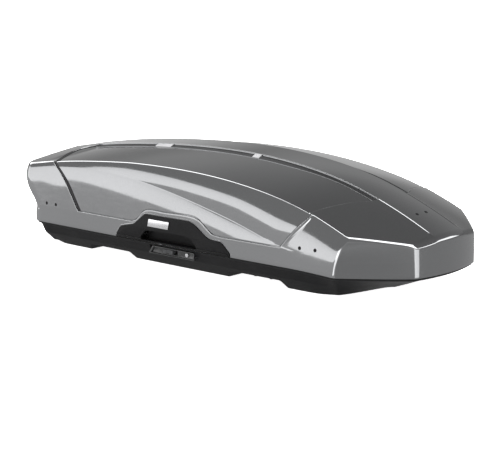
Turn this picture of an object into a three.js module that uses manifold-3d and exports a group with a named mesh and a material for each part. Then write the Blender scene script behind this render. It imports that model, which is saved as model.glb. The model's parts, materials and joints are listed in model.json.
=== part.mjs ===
// Roof cargo box with a lid that opens from either side.
// Millimetres; +X to the nose, +Y to the left, +Z up.
import * as THREE from "three";
import { mergeVertices } from "three/addons/utils/BufferGeometryUtils.js";
import Module from "manifold-3d";

const wasm = await Module();
wasm.setup();

// ---- Driving dimensions --------------------------------------------------
const GAP = 0.4;
const NOSE_X = 1033;
const NOSE_CORNER = { x: 1004, y: 200 };
const SIDE_CORNER = { lipX: 777, lipY: 424, topX: 811, topY: 390 };
const REAR_RADIUS = 70;
const SHOULDER_CUT = 12;
const SPINE_HALF = 94;
const GROOVE_OUT = 122;
const SPINE_STEP = 9;
const SHELL_T = 4;
const DEPTH = { plain: 0, panel: 3, strip: 5, groove: 9 };
const STRIP_W = 22;
const SKIRT_Z = 177;
const BASE_T = 4;
const LIP_GAP = 3.6;
const HANDLE_Y = 440;
const RAIL_Y = 391;
const CLAMP_XS = { rear: -447, front: 353 };
const CLAMP_Y = 330;
const CLAMP_SLOT = 96;
const CLAMP_FLOOR = { rear: 34, front: 38 };
const BAR_RECESSES = [
  { x0: -640, x1: -322, top: 30 },
  { x0: 180, x1: 520, top: 34 },
];
const TRAY_JOINTS = [-296, 154];
const ARM_XS = { rear: -640, front: 600 };

// ---- Small maths ---------------------------------------------------------
const V = (x, y, z) => new THREE.Vector3(x, y, z);
const lerp = (a, b, t) => a + (b - a) * t;
const clamp01 = (t) => Math.min(1, Math.max(0, t));
const smooth = (t) => clamp01(t) ** 2 * (3 - 2 * clamp01(t));

// A smooth curve through [x, value] points, straight beyond its ends.
function curve(pts) {
  const d = pts.slice(1).map((p, i) => (p[1] - pts[i][1]) / (p[0] - pts[i][0]));
  const m = pts.map((_, i) => (i === 0 ? d[0] : i === d.length ? d[i - 1] : (d[i - 1] + d[i]) / 2));
  return (x) => {
    let i = 0;
    while (i < pts.length - 2 && x > pts[i + 1][0]) i++;
    const h = pts[i + 1][0] - pts[i][0];
    const t = (x - pts[i][0]) / h;
    if (t < 0) return pts[0][1] + m[0] * (x - pts[0][0]);
    if (t > 1) return pts[i + 1][1] + m[i + 1] * (x - pts[i + 1][0]);
    const start = (1 + 2 * t) * (1 - t) ** 2 * pts[i][1] + t * (1 - t) ** 2 * h * m[i];
    return start + t * t * (3 - 2 * t) * pts[i + 1][1] + t * t * (t - 1) * h * m[i + 1];
  };
}

// ---- The lid's outer form ------------------------------------------------
const spineZ = curve([
  [-1033, 391], [-783, 428], [-436, 461], [-43, 474], [150, 467],
  [395, 440], [619, 391], [744, 349], [893, 289], [1010, 234],
]);
const creaseZ = curve([
  [-1000, 340], [-738, 362], [-541, 369], [-328, 358], [-58, 318], [116, 282], [257, 249], [426, 203],
]);
const upperStart = curve([
  [-700, -20], [-420, -16], [-283, -4], [22, 31], [274, 54], [408, 54], [800, 30],
]);
const lipHalfWidth = curve([[-1000, 432], [-400, 436], [200, 434], [777, 424]]);
const shoulderInset = curve([[-1000, 24], [-750, 24], [-300, 32], [100, 40], [500, 40], [811, 34]]);
const rearX = curve([
  [100, -965], [155, -962], [162, -958], [255, -1020], [310, -1033], [355, -1026], [400, -1008],
]);
const stripX = curve([[100, -570], [177, -634], [257, -689], [332, -753], [375, -812]]);
const stripTopX = curve([[94, -850], [122, -867], [180, -892], [250, -884], [330, -850], [400, -812]]);
const seamX = curve([[100, 460], [179, 518], [302, 632]]);
const seamTopX = curve([[94, 742], [122, 735], [180, 701], [250, 672], [330, 645], [400, 632]]);
const lipZ = (x) => 101 - 15 * smooth((x - 560) / 440);
const dropAcross = (x) => 43 + Math.max(0, (32 * (x + 338)) / 1150);

// Height of the top at (x, y): a nearly flat spine, a step down across the groove, then a gentle fall.
function topZ(x, y) {
  const out = Math.max(0, Math.abs(y) - SPINE_HALF) / 306;
  const crown = 5 * (1 - (Math.min(Math.abs(y), SPINE_HALF) / SPINE_HALF) ** 2) * smooth((x - 200) / 500);
  const step = SPINE_STEP * smooth((x + 880) / 60) * smooth((620 - x) / 380);
  const down = step * smooth((Math.abs(y) - SPINE_HALF) / (GROOVE_OUT - SPINE_HALF));
  return spineZ(x) + crown - down - (dropAcross(x) - step) * (0.8 * out + 0.2 * out * out);
}
const shoulderZ = (x) => topZ(x, lipHalfWidth(x) - shoulderInset(x));

// How far the side leans in at height z: upright, curling in under the crease, then upright again and curling
// in to the shoulder from a start line above the crease.
function rawLean(x, z) {
  const top = shoulderZ(x);
  const crease = Math.min(Math.max(creaseZ(x), SKIRT_Z + 5), top - 20);
  const curl = Math.min(66, crease - SKIRT_Z);
  const start = Math.min(upperStart(x), 0.6 * (top - crease));
  const below = Math.min(z, crease);
  const above = Math.max(0, z - crease);
  const under = (0.2 * Math.max(0, below - crease + curl) ** 2) / (2 * curl);
  const over = (t) => (0.36 * Math.max(0, t - start) ** 2) / (2 * (top - crease - start));
  return 0.035 * Math.max(0, below - SKIRT_Z) + under + 0.02 * above + over(above) - over(0);
}
function sideY(x, z) {
  const top = shoulderZ(x);
  return lipHalfWidth(x) - (shoulderInset(x) * rawLean(x, Math.min(z, top))) / rawLean(x, top);
}

// ---- Stations: rows run from the near edge to the centre line, columns from rear to nose -----
const ROW_SHARES = [1, 0.94, 0.87, 0.68, 0.37];
const ROW_YS = [GROOVE_OUT, GROOVE_OUT - 1, SPINE_HALF + 1, SPINE_HALF, 0];
const ROW_COUNT = ROW_SHARES.length + ROW_YS.length;
const REAR_ARC = [45, 27, 10];
const LEVELS = ["lip", "skirt", "step", "low", "curl", "crease", "mid", "high", "shoulder"];

function makeColumns() {
  const cols = [63, 80].map((deg) => ({ zone: "arc", deg, kind: "plain" }));
  [0, 0.5].forEach((t) => cols.push({ zone: "rear", t, kind: "plain" }));
  cols.push({ zone: "strip", dx: 0, kind: "plain" });
  cols.push({ zone: "strip", dx: 1, kind: "strip" });
  cols.push({ zone: "strip", dx: STRIP_W - 1, kind: "strip" });
  cols.push({ zone: "strip", dx: STRIP_W, kind: "panel" });
  for (let k = 1; k < 12; k++) cols.push({ zone: "panel", t: k / 12, kind: "panel" });
  cols.push({ zone: "seam", dx: -1.5, kind: "panel" });
  cols.push({ zone: "seam", dx: 0, kind: "plain" });
  [0.5, 1].forEach((t) => cols.push({ zone: "front", t, kind: "plain" }));
  [0.33, 0.66, 1].forEach((t) => cols.push({ zone: "facet", t, kind: "plain" }));
  return cols;
}
const COLUMNS = makeColumns();

const rowY = (row, edgeY) =>
  row < ROW_SHARES.length ? lerp(GROOVE_OUT, edgeY, ROW_SHARES[row]) : ROW_YS[row - ROW_SHARES.length];

// x of a column between the guide lines that bound its zone.
function columnX(col, guides) {
  if (col.zone === "strip") return guides.strip + col.dx;
  if (col.zone === "seam") return guides.seam + col.dx;
  if (col.zone === "rear") return lerp(guides.rear, guides.strip, col.t);
  if (col.zone === "panel") return lerp(guides.strip + STRIP_W, guides.seam - 1.5, col.t);
  if (col.zone === "front") return lerp(guides.seam, guides.corner, col.t);
  return lerp(guides.corner, guides.nose, col.t);
}

function levelZ(level, x, top, skirt) {
  const crease = Math.min(Math.max(creaseZ(x), skirt + 12), top - 24);
  const last = top - SHOULDER_CUT;
  if (level === "lip") return lipZ(x);
  if (level === "skirt") return skirt;
  if (level === "step") return skirt + 3;
  if (level === "low") return lerp(skirt + 3, crease, 0.5);
  if (level === "curl") return lerp(skirt + 3, crease, 0.8);
  if (level === "crease") return crease;
  if (level === "mid") return lerp(crease, last, 0.35);
  if (level === "high") return lerp(crease, last, 0.7);
  return last;
}

const climb = (level) => LEVELS.indexOf(level) / (LEVELS.length - 1);
const rearEdgeX = (y, z) => rearX(z) + 9 * (y / 430) ** 2;

function rearStation(y, level) {
  const z = levelZ(level, -1000, topZ(-1000, y), 156);
  return { p: V(rearEdgeX(y, z), -y, z), n: V(1, 0, 0), kind: "plain" };
}

function arcStation(deg, level) {
  const a = (deg * Math.PI) / 180;
  const z = levelZ(level, -1000, topZ(-990, 400), lerp(156, SKIRT_Z, deg / 90));
  const y = sideY(-950, z) - REAR_RADIUS;
  const n = V(Math.cos(a), Math.sin(a), 0);
  const p = V(rearEdgeX(y, z) + REAR_RADIUS, -y, z).addScaledVector(n, -REAR_RADIUS);
  return { p, n, kind: "plain" };
}

function sideStation(col, level) {
  let x = 0;
  let z = levelZ(level, x, shoulderZ(x), SKIRT_Z);
  for (let pass = 0; pass < 6; pass++) {
    const guides = {
      rear: rearEdgeX(sideY(-950, z) - REAR_RADIUS, z) + REAR_RADIUS,
      strip: stripX(z),
      seam: seamX(z),
      corner: lerp(SIDE_CORNER.lipX, SIDE_CORNER.topX, clamp01((z - 97) / 150)),
    };
    x = columnX(col, guides);
    z = levelZ(level, x, shoulderZ(x), SKIRT_Z);
  }
  const n = col.zone === "front" && col.t === 1 ? V(-0.35, 0.94, 0) : V(0, 1, 0);
  return { p: V(x, -sideY(x, z), z), n, kind: climb(level) < 0.2 ? "plain" : col.kind };
}

function facetStation(t, level) {
  const w = climb(level);
  const x = lerp(SIDE_CORNER.lipX, SIDE_CORNER.topX, w);
  const from = V(x, -lerp(SIDE_CORNER.lipY, SIDE_CORNER.topY, w), 0);
  const p = from.lerp(V(NOSE_CORNER.x - 3 * w, -NOSE_CORNER.y, 0), t);
  p.z = levelZ(level, p.x, topZ(p.x, p.y), SKIRT_Z - 20 * t);
  return { p, n: t < 1 ? V(-0.7, 0.71, 0) : V(-0.9, 0.43, 0), kind: "plain" };
}

function frontStation(y, level) {
  const w = climb(level);
  const x = NOSE_X - (NOSE_X - NOSE_CORNER.x) * (y / NOSE_CORNER.y) ** 2 - 3 * w;
  return { p: V(x, -y, levelZ(level, x, topZ(x, y), SKIRT_Z - 20)), n: V(-1, 0, 0), kind: "plain" };
}

// The near half of one level, from the rear centre round the side to the nose centre.
function ring(level) {
  const rows = [...Array(ROW_COUNT).keys()];
  const rear = rows.slice(REAR_ARC.length).reverse().map((r) => rearStation(rowY(r, 411), level));
  const arcs = [...REAR_ARC].reverse().map((deg) => arcStation(deg, level));
  const sides = COLUMNS.map((col) => {
    if (col.zone === "arc") return arcStation(col.deg, level);
    return col.zone === "facet" ? facetStation(col.t, level) : sideStation(col, level);
  });
  const front = rows.slice(1).map((r) => frontStation(rowY(r, NOSE_CORNER.y), level));
  return [...rear, ...arcs, ...sides, ...front];
}

// The ring where the wall's rounded shoulder meets the top.
function topRing() {
  return ring("shoulder").map(({ p, n, kind }) => {
    const q = p.clone().addScaledVector(n, SHOULDER_CUT);
    return { p: V(q.x, p.y === 0 ? 0 : q.y, topZ(q.x, q.y)), n, kind };
  });
}

// Top points, column by column, each from the near edge to the centre line.
function topColumns(edge) {
  const side = edge.slice(ROW_COUNT - 1, ROW_COUNT + COLUMNS.length);
  const rearRow = edge.slice(0, ROW_COUNT).reverse();
  const noseRow = edge.slice(-ROW_COUNT);
  const at = (zone) => 1 + COLUMNS.findIndex((c) => c.zone === zone);
  const cornerCol = at("facet") - 1;
  const kinds = ["plain", ...COLUMNS.map((c) => c.kind)];
  return side.map((station, c) => {
    return rearRow.map((_, r) => {
      const kind = topKind(kinds[c], r);
      if (c === 0) return { p: rearRow[r].p, kind };
      if (c === side.length - 1) return { p: noseRow[r].p, kind };
      if (r === 0) return { p: station.p, kind };
      const y = rowY(r, -station.p.y);
      const guides = [
        [0, rearRow[r].p.x],
        [at("strip"), stripTopX(y)],
        [at("strip") + 3, stripTopX(y) + STRIP_W],
        [at("seam"), seamTopX(y) - 1.5],
        [at("seam") + 1, seamTopX(y)],
        [cornerCol, side[cornerCol].p.x],
        [side.length - 1, noseRow[r].p.x],
      ];
      const k = guides.findIndex((g) => g[0] >= c);
      const [[c0, x0], [c1, x1]] = [guides[k - 1], guides[k]];
      const share = (station.p.x - side[c0].p.x) / (side[c1].p.x - side[c0].p.x);
      const x = lerp(x0, x1, share);
      return { p: V(x, -y, topZ(x, y)), kind };
    });
  });
}

function topKind(kind, row) {
  const first = ROW_SHARES.length;
  if (kind === "plain" || row > first + 2) return "plain";
  return row === first + 1 || row === first + 2 ? "groove" : kind;
}

// The deepest recess beside a point, so the inner skin clears a groove's walls.
function deepest(grid, i, j) {
  let depth = 0;
  for (const a of [i - 1, i, i + 1])
    for (const b of [j - 1, j, j + 1]) depth = Math.max(depth, DEPTH[grid[a]?.[b]?.kind] ?? 0);
  return depth;
}

// ---- Surfaces to solids --------------------------------------------------
function addQuads(tris, grid, flip) {
  for (let i = 0; i + 1 < grid.length; i++)
    for (let j = 0; j + 1 < grid[i].length; j++) {
      const [a, b, c, d] = [grid[i][j], grid[i][j + 1], grid[i + 1][j + 1], grid[i + 1][j]];
      tris.push(flip ? [a, c, b] : [a, b, c], flip ? [a, d, c] : [a, c, d]);
    }
}

function mirrored(tris) {
  const m = (p) => V(p.x, -p.y || 0, p.z);
  return tris.map(([a, b, c]) => [m(a), m(c), m(b)]);
}

function geometryOf(nearTris) {
  const flat = [...nearTris, ...mirrored(nearTris)].flat().flatMap((p) => [p.x, p.y || 0, p.z]);
  const geo = new THREE.BufferGeometry();
  geo.setAttribute("position", new THREE.Float32BufferAttribute(flat, 3));
  return geo;
}

const wallPoint = (s, depth) => s.p.clone().addScaledVector(s.n, depth);

// One skin of the lid, pushed in by t; its wall rows run up from the lip.
function lidSkin(t) {
  const inner = t > 0;
  const rings = LEVELS.map((level) => ring(level));
  const edge = topRing();
  const wallDepth = (i, j) => (inner ? deepest(rings, i, j) : DEPTH[rings[i][j].kind]);
  const walls = rings.map((row, i) => row.map((s, j) => wallPoint(s, t + wallDepth(i, j))));
  const last = rings.length - 1;
  const columns = topColumns(edge);
  const topDepth = (i, j) => t + (inner ? deepest(columns, i, j) : DEPTH[columns[i][j].kind]);
  const top = columns.map((col, i) => col.map(({ p }, j) => V(p.x, p.y, p.z - topDepth(i, j))));
  const rim = [...top[0].slice(1).reverse(), ...top.map((col) => col[0]), ...top.at(-1).slice(1)];
  const round = rings[last].map((s, j) => {
    const mid = walls[last][j].clone().lerp(rim[j], 0.5);
    return mid.addScaledVector(s.n, -0.2 * SHOULDER_CUT).add(V(0, 0, 0.2 * SHOULDER_CUT));
  });
  [...walls, round, rim].forEach((row) => [row[0], row.at(-1)].forEach((p) => (p.y = 0)));
  return { walls: [...walls, round, rim], top };
}

function lidShell() {
  const outer = lidSkin(0);
  const inner = lidSkin(SHELL_T);
  const tris = [];
  addQuads(tris, outer.walls, false);
  addQuads(tris, inner.walls, true);
  addQuads(tris, outer.top, true);
  addQuads(tris, inner.top, false);
  addQuads(tris, [inner.walls[0], outer.walls[0]], false);
  return geometryOf(tris);
}

// ---- Booleans and plain solids ------------------------------------------
function toSolid(geo) {
  const bare = geo.index ? geo.toNonIndexed() : geo.clone();
  bare.deleteAttribute("normal");
  bare.deleteAttribute("uv");
  const merged = mergeVertices(bare, 1e-3);
  const mesh = new wasm.Mesh({
    numProp: 3,
    vertProperties: merged.attributes.position.array,
    triVerts: new Uint32Array(merged.index.array),
  });
  return new wasm.Manifold(mesh);
}

function fromSolid(solid) {
  const mesh = solid.getMesh();
  const geo = new THREE.BufferGeometry();
  geo.setAttribute("position", new THREE.BufferAttribute(mesh.vertProperties, 3));
  geo.setIndex(new THREE.BufferAttribute(mesh.triVerts, 1));
  return geo;
}

const cut = (geo, ...tools) => fromSolid(tools.reduce((s, t) => s.subtract(toSolid(t)), toSolid(geo)));
const join = (geo, ...others) => fromSolid(others.reduce((s, t) => s.add(toSolid(t)), toSolid(geo)));

// A box given by its low and high corners.
function block(x0, x1, y0, y1, z0, z1) {
  const box = new THREE.BoxGeometry(x1 - x0, y1 - y0, z1 - z0);
  return box.translate((x0 + x1) / 2, (y0 + y1) / 2, (z0 + z1) / 2);
}

// An outline in the XZ plane, given depth from y0 to y1.
function slab(points, y0, y1) {
  const shape = new THREE.Shape(points.map(([x, z]) => new THREE.Vector2(x, z)));
  const geo = new THREE.ExtrudeGeometry(shape, { depth: y1 - y0, bevelEnabled: false });
  return geo.rotateX(Math.PI / 2).translate(0, y1, 0);
}

// A round bar along an axis through a centre point.
function rod(axis, r, length, center, sides = 20) {
  const geo = new THREE.CylinderGeometry(r, r, length, sides);
  if (axis === "x") geo.rotateZ(Math.PI / 2);
  if (axis === "z") geo.rotateX(Math.PI / 2);
  return geo.translate(...center);
}

// ---- Base ----------------------------------------------------------------
const BASE_RINGS = [
  { z: -LIP_GAP, rear: 9, side: 7, corner: 8, nose: 8 },
  { z: -LIP_GAP - 5, rear: 10, side: 8, corner: 9, nose: 9 },
  { z: -LIP_GAP - 8, rear: 56, side: 12, corner: 14, nose: 14 },
  { z: 50, rear: 86, side: 28, corner: 44, nose: 92 },
  { z: 0, rear: 128, side: 68, corner: 84, nose: 184 },
];

function baseRing(level, t) {
  const lip = ring("lip");
  const firstSide = ROW_COUNT + 3;
  return lip.map(({ p, n }, k) => {
    const rear = smooth((firstSide - k) / 8);
    const front = smooth((p.x - 600) / 177);
    const nose = smooth((p.x - 777) / 227);
    const side = lerp(lerp(level.side, level.corner, front), level.nose, nose);
    const q = p.clone().addScaledVector(n, lerp(side, level.rear, rear) + t);
    const foot = Math.max(10 * smooth((-790 - q.x) / 60), 14 * smooth((q.x - 640) / 200));
    q.z = level.z < 0 ? p.z + level.z : level.z || foot;
    if (p.y === 0) q.y = 0;
    return q;
  });
}

function baseSolid(t) {
  const rings = BASE_RINGS.map((level) => baseRing(level, t));
  rings.at(-1).forEach((p) => (p.z += t));
  if (t > 0) rings.unshift(rings[0].map((p) => V(p.x, p.y, 130)));
  const tris = [];
  addQuads(tris, rings, true);
  const across = (row) => row.map((p) => V(p.x, 0, p.z));
  addQuads(tris, [rings[0], across(rings[0])], false);
  addQuads(tris, [rings.at(-1), across(rings.at(-1))], true);
  return toSolid(geometryOf(tris));
}

// The step in the floor that a crossbar lies in.
const barRecess = ({ x0, x1, top }, t) =>
  toSolid(slab([[x0 - t, -20], [x0 + 34 - t, top + t], [x1 - 34 + t, top + t], [x1 + t, -20]], -460, 460));

function baseShell() {
  let outer = baseSolid(0);
  let inner = baseSolid(BASE_T);
  for (const r of BAR_RECESSES) {
    outer = outer.subtract(barRecess(r, 0));
    inner = inner.subtract(barRecess(r, BASE_T));
  }
  let shell = outer.subtract(inner);
  for (const side of [-1, 1]) {
    const y = [side * 460, side * 392].sort((a, b) => a - b);
    shell = shell.subtract(toSolid(block(-202 - GAP, 58 + GAP, y[0], y[1], 55, 89)));
    for (const x of Object.values(CLAMP_XS)) {
      const c = [side * (CLAMP_Y - 14), side * (CLAMP_Y + 14)].sort((a, b) => a - b);
      shell = shell.subtract(toSolid(block(x - CLAMP_SLOT, x + CLAMP_SLOT, c[0], c[1], 20, 50)));
    }
  }
  return shell;
}

// One length of the tray, clear of the next.
function trayLength(shell, x0, x1) {
  return fromSolid(shell.intersect(toSolid(block(x0, x1, -500, 500, -10, 150))));
}

// ---- Assembly helpers ----------------------------------------------------
const group = new THREE.Group();
group.name = "roof_cargo_box";

const FINISH = {
  lid: { color: 0x8b8d90, roughness: 0.22, metalness: 0.55 },
  black: { color: 0x1b1b1d, roughness: 0.55, metalness: 0 },
  grey: { color: 0x3a3a3c, roughness: 0.5, metalness: 0 },
  trim: { color: 0x2b2c2e, roughness: 0.45, metalness: 0 },
  alu: { color: 0xb4b6b8, roughness: 0.35, metalness: 1 },
  steel: { color: 0x8f9194, roughness: 0.3, metalness: 1 },
  rubber: { color: 0x141414, roughness: 0.85, metalness: 0 },
  web: { color: 0x26282b, roughness: 0.9, metalness: 0 },
};

function add(name, geo, finish) {
  const mesh = new THREE.Mesh(geo, new THREE.MeshStandardMaterial(FINISH[finish]));
  mesh.name = name;
  group.add(mesh);
}

// The same piece on the left side, turned over the centre plane.
function flipY(geo) {
  const g = geo.index ? geo.toNonIndexed() : geo.clone();
  g.scale(1, -1, 1);
  const a = g.attributes.position.array;
  for (let i = 0; i < a.length; i += 9)
    for (let k = 0; k < 3; k++) [a[i + 3 + k], a[i + 6 + k]] = [a[i + 6 + k], a[i + 3 + k]];
  g.deleteAttribute("normal");
  g.deleteAttribute("uv");
  return g;
}

function addPair(name, geo, finish) {
  add(`${name}_right`, geo, finish);
  add(`${name}_left`, flipY(geo), finish);
}

// ---- Side furniture ------------------------------------------------------
const HANDLE_OUTLINE = [
  [-389, 103], [-389, 116], [-363, 150], [-282, 168], [-218, 219], [34, 220],
  [70, 208], [141, 163], [170, 158], [214, 157], [262, 115], [262, 103],
];

function handlePanel() {
  const plate = slab(HANDLE_OUTLINE, -HANDLE_Y, -HANDLE_Y + 9);
  const shell = [[-246, 103.5], [-246, 126], [-213, 157], [12, 162], [52, 153], [82, 124], [90, 103.5]];
  const pocket = slab(shell, -HANDLE_Y + 8, -HANDLE_Y + 40);
  const mouth = [[-240, 90], [-240, 123], [-210, 151], [11, 156], [48, 148], [76, 121], [84, 90]];
  const hollow = slab(mouth, -460, -HANDLE_Y + 36);
  return cut(join(plate, pocket), hollow);
}

const handleHole = () => {
  const grown = HANDLE_OUTLINE.map(([x, z]) => [x + (x < -60 ? -GAP : GAP), z < 110 ? 90 : z + GAP]);
  return slab(grown, -460, -410);
};

function emblem() {
  return slab([[-197, 170], [-189, 202], [-71, 202], [-79, 170]], -HANDLE_Y - 2.2, -HANDLE_Y - GAP);
}

function lockBezel() {
  const body = slab([[-202, 55.4], [-178, 88.6], [58, 88.6], [58, 55.4]], -430, -399);
  const recess = slab([[-190, 59], [-172, 85], [53, 85], [53, 59]], -440, -421);
  const slot = block(-126, -42, -425, -390, 62, 83);
  return cut(body, recess, slot, rod("y", 8.4, 60, [13, -410, 72]));
}

function slider() {
  const thumb = block(-122, -66, -427, -404, 63, 82);
  return cut(thumb, slab([[-102, 60], [-86, 60], [-88, 90], [-100, 90]], -428, -424));
}

function keyCylinder() {
  const body = rod("y", 8, 24, [13, -413, 72], 28);
  return cut(body, block(11.9, 14.1, -426, -421, 67.5, 76.5));
}

function lockBar() {
  const bar = block(-560, 560, -RAIL_Y - 4, -RAIL_Y + 4, 58, 76);
  const notches = [-480, -160, 160, 480].map((x) => block(x - 12, x + 12, -400, -380, 70, 80));
  return cut(bar, ...notches);
}

function hookRail() {
  const rail = block(-655, 655, -RAIL_Y - 5, -RAIL_Y + 5, 82, 92);
  const hooks = [-480, -160, 160, 480].map((x) => block(x - 8, x + 8, -RAIL_Y + 4.5, -RAIL_Y + 9, 66, 92));
  return join(rail, ...hooks);
}

// An arm across the box, from one hook rail to the pivot by the other side.
function lifterArm(x) {
  return join(block(x - 8, x + 8, -RAIL_Y + 5.4, 372, 83, 91), rod("x", 9, 16, [x, 372, 87]));
}

// The coil beside an arm's pivot, wound towards dir.
function lifterSpring(x, dir) {
  const pts = [];
  for (let k = 0; k <= 40; k++) {
    const a = (k / 8) * 2 * Math.PI;
    pts.push(V(x + dir * (9.8 + k * 0.4), 372 + 7.5 * Math.cos(a), 87 + 7.5 * Math.sin(a)));
  }
  const wire = new THREE.Shape().absarc(0, 0, 1.2, 0, 2 * Math.PI);
  const path = new THREE.CatmullRomCurve3(pts);
  const settings = { steps: 60, curveSegments: 3, extrudePath: path, bevelEnabled: false };
  return new THREE.ExtrudeGeometry(wire, settings);
}

// ---- Top trim ------------------------------------------------------------
// A strip in the groove beside the spine, in short straight runs that match the lid's own columns.
function grooveTrim(columns, rise) {
  const out = ROW_SHARES.length + 1;
  const kept = columns.filter((col) => col[out].kind === "groove");
  const floor = (p, dx, dy, h) => V(p.x + dx, p.y + dy, p.z - DEPTH.groove + 1 + h);
  return kept.map((col, i) => {
    const dx = i === 0 ? 1 : i === kept.length - 1 ? -1 : 0;
    const [a, b] = [col[out].p, col[out + 1].p];
    const loop = [floor(a, dx, 1, 0), floor(b, dx, -1, 0), floor(b, dx, -1, rise), floor(a, dx, 1, rise)];
    return [...loop, loop[0]];
  });
}

// A closed tube of quads through rows of four corners.
function tubeOf(rows) {
  const tris = [];
  addQuads(tris, rows, false);
  const capA = rows[0];
  const capB = rows.at(-1);
  tris.push([capA[0], capA[2], capA[1]], [capA[0], capA[3], capA[2]]);
  tris.push([capB[0], capB[1], capB[2]], [capB[0], capB[2], capB[3]]);
  const flat = tris.flat().flatMap((p) => [p.x, p.y, p.z]);
  const geo = new THREE.BufferGeometry();
  geo.setAttribute("position", new THREE.Float32BufferAttribute(flat, 3));
  return toSolid(geo).volume() < 0 ? reversed(geo) : geo;
}

function reversed(geo) {
  return flipY(geo.clone().scale(1, -1, 1));
}

// The strip up the rear pillar, laid in its recess on the side wall.
function pillarTrim() {
  const cols = COLUMNS.map((c, i) => [c, i]).filter(([c]) => c.kind === "strip");
  const first = ROW_COUNT + cols[0][1];
  const inRecess = (s, gap, rise) => s.p.clone().addScaledVector(s.n, DEPTH.strip - gap - rise);
  const rows = LEVELS.slice(2).map((level) => {
    const row = ring(level);
    const [a, b] = [row[first], row[first + 1]];
    const left = V(0.8, 0, 0);
    const right = V(-0.8, 0, 0);
    const corner = (s, push, rise) => inRecess(s, GAP, rise).add(push);
    const loop = [corner(a, left, 0), corner(b, right, 0), corner(b, right, 3), corner(a, left, 3)];
    return [...loop, loop[0]];
  });
  return tubeOf(rows);
}

// ---- Inner parts ---------------------------------------------------------
function lidBrace(x) {
  const ys = [-330, -240, -150, -122, -94, 94, 122, 150, 240, 330];
  const under = (y) => topZ(x, y) - SHELL_T - DEPTH.groove - 6;
  const upper = ys.map((y) => [y, under(y)]);
  const lower = [...ys].reverse().map((y) => [y, under(y) - 16]);
  const shape = new THREE.Shape([...upper, ...lower].map(([y, z]) => new THREE.Vector2(y, z)));
  const geo = new THREE.ExtrudeGeometry(shape, { depth: 24, bevelEnabled: false });
  return geo.rotateX(Math.PI / 2).rotateZ(Math.PI / 2).translate(x - 12, 0, 0);
}

function clampRail(x, y, floor) {
  const rail = block(x - 120, x + 120, y - 22, y + 22, floor + GAP, floor + 6);
  return cut(rail, block(x - CLAMP_SLOT, x + CLAMP_SLOT, y - 14, y + 14, 30, 60));
}

function clampHousing(x, y, floor) {
  const body = block(x - 62, x + 62, y - 24, y + 24, floor + 6.4, floor + 26);
  const room = block(x - 56, x + 56, y - 11, y + 11, floor, floor + 20);
  return cut(body, room, rod("z", 6, 30, [x, y, floor + 20]));
}

function clampKnob(x, y, floor) {
  const grip = rod("z", 26, 15, [x, y, floor + 34], 24);
  const notches = [0, 60, 120, 180, 240, 300].map((deg) => {
    const a = (deg * Math.PI) / 180;
    return rod("z", 6, 20, [x + 28 * Math.cos(a), y + 28 * Math.sin(a), floor + 34], 10);
  });
  return join(cut(grip, ...notches), rod("z", 5.6, 18, [x, y, floor + 19]));
}

// One claw, from its pivot down through the floor slot and round under the crossbar.
const CLAW = [
  [35, 46], [45, 46], [51, 34], [55, 22], [46, 13.5], [35, 14], [36, 18], [44, 20], [47, 26], [42, 36],
];
function clampClaw(x, y, floor, dir) {
  const pts = CLAW.map(([dx, z]) => [x + dir * dx, z + floor - 34 + (z < 30 ? 34 - floor + 1.5 : 0)]);
  return slab(dir > 0 ? pts : pts.reverse(), y - 9, y + 9);
}

function noseSeal() {
  const lip = ring("lip");
  const kept = lip.filter(({ p }) => p.x > 640);
  const rows = kept.map(({ p, n }) => {
    const at = (d, z) => p.clone().addScaledVector(n, d).add(V(0, 0, z - LIP_GAP));
    return [at(10, 0.5), at(14, 0.5), at(14, 6), at(10, 6), at(10, 0.5)];
  });
  const far = rows.slice(0, -1).reverse().map((row) => row.map((p) => V(p.x, -p.y, p.z)));
  const near = rows.map((row) => row.map((p) => p.clone()));
  near.at(-1).forEach((p) => (p.y = 0));
  return tubeOf([...near, ...far]);
}

const loadStrap = (x) => block(x - 12.5, x + 12.5, -300, 300, 4.6, 6.2);

function strapBuckle(x) {
  return cut(block(x - 21, x + 21, -26, 26, 4.6, 14), block(x - 14, x + 14, -40, 40, 4, 8));
}

// A cover plate across the groove, flush with the top.
function grooveCap(x0, x1) {
  const loop = (x) => {
    const at = (y, h) => V(x, y, topZ(x, y) + h);
    const [a, b] = [-GROOVE_OUT + 3, -SPINE_HALF - 3];
    return [at(a, -3), at(b, -3), at(b, -0.6), at(a, -0.6), at(a, -3)];
  };
  return tubeOf([loop(x0), loop(x1)]);
}

// ---- The assembly --------------------------------------------------------
function addSideParts() {
  addPair("grip_handle", handlePanel(), "black");
  addPair("emblem", emblem(), "alu");
  addPair("lock_bezel", lockBezel(), "trim");
  addPair("release_slider", slider(), "grey");
  addPair("lock_cylinder", keyCylinder(), "steel");
  addPair("lock_bar", lockBar(), "steel");
  addPair("hook_rail", hookRail(), "alu");
  addPair("groove_trim", tubeOf(grooveTrim(topColumns(topRing()), 3)), "trim");
  addPair("pillar_trim", pillarTrim(), "trim");
  addPair("groove_cap_rear", grooveCap(-467, -373), "grey");
  addPair("groove_cap_front", grooveCap(103, 139), "grey");
}

// Arms and coils of the right frame start at the right rail; the left frame's sit just outside them.
function addLifters() {
  for (const [end, out] of [["rear", -1], ["front", 1]]) {
    const x = ARM_XS[end];
    add(`lifter_arm_${end}_right`, lifterArm(x), "alu");
    add(`lifter_spring_${end}_right`, lifterSpring(x, -out), "steel");
    add(`lifter_arm_${end}_left`, flipY(lifterArm(x + 30 * out)), "alu");
    add(`lifter_spring_${end}_left`, flipY(lifterSpring(x + 30 * out, out)), "steel");
  }
}

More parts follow.
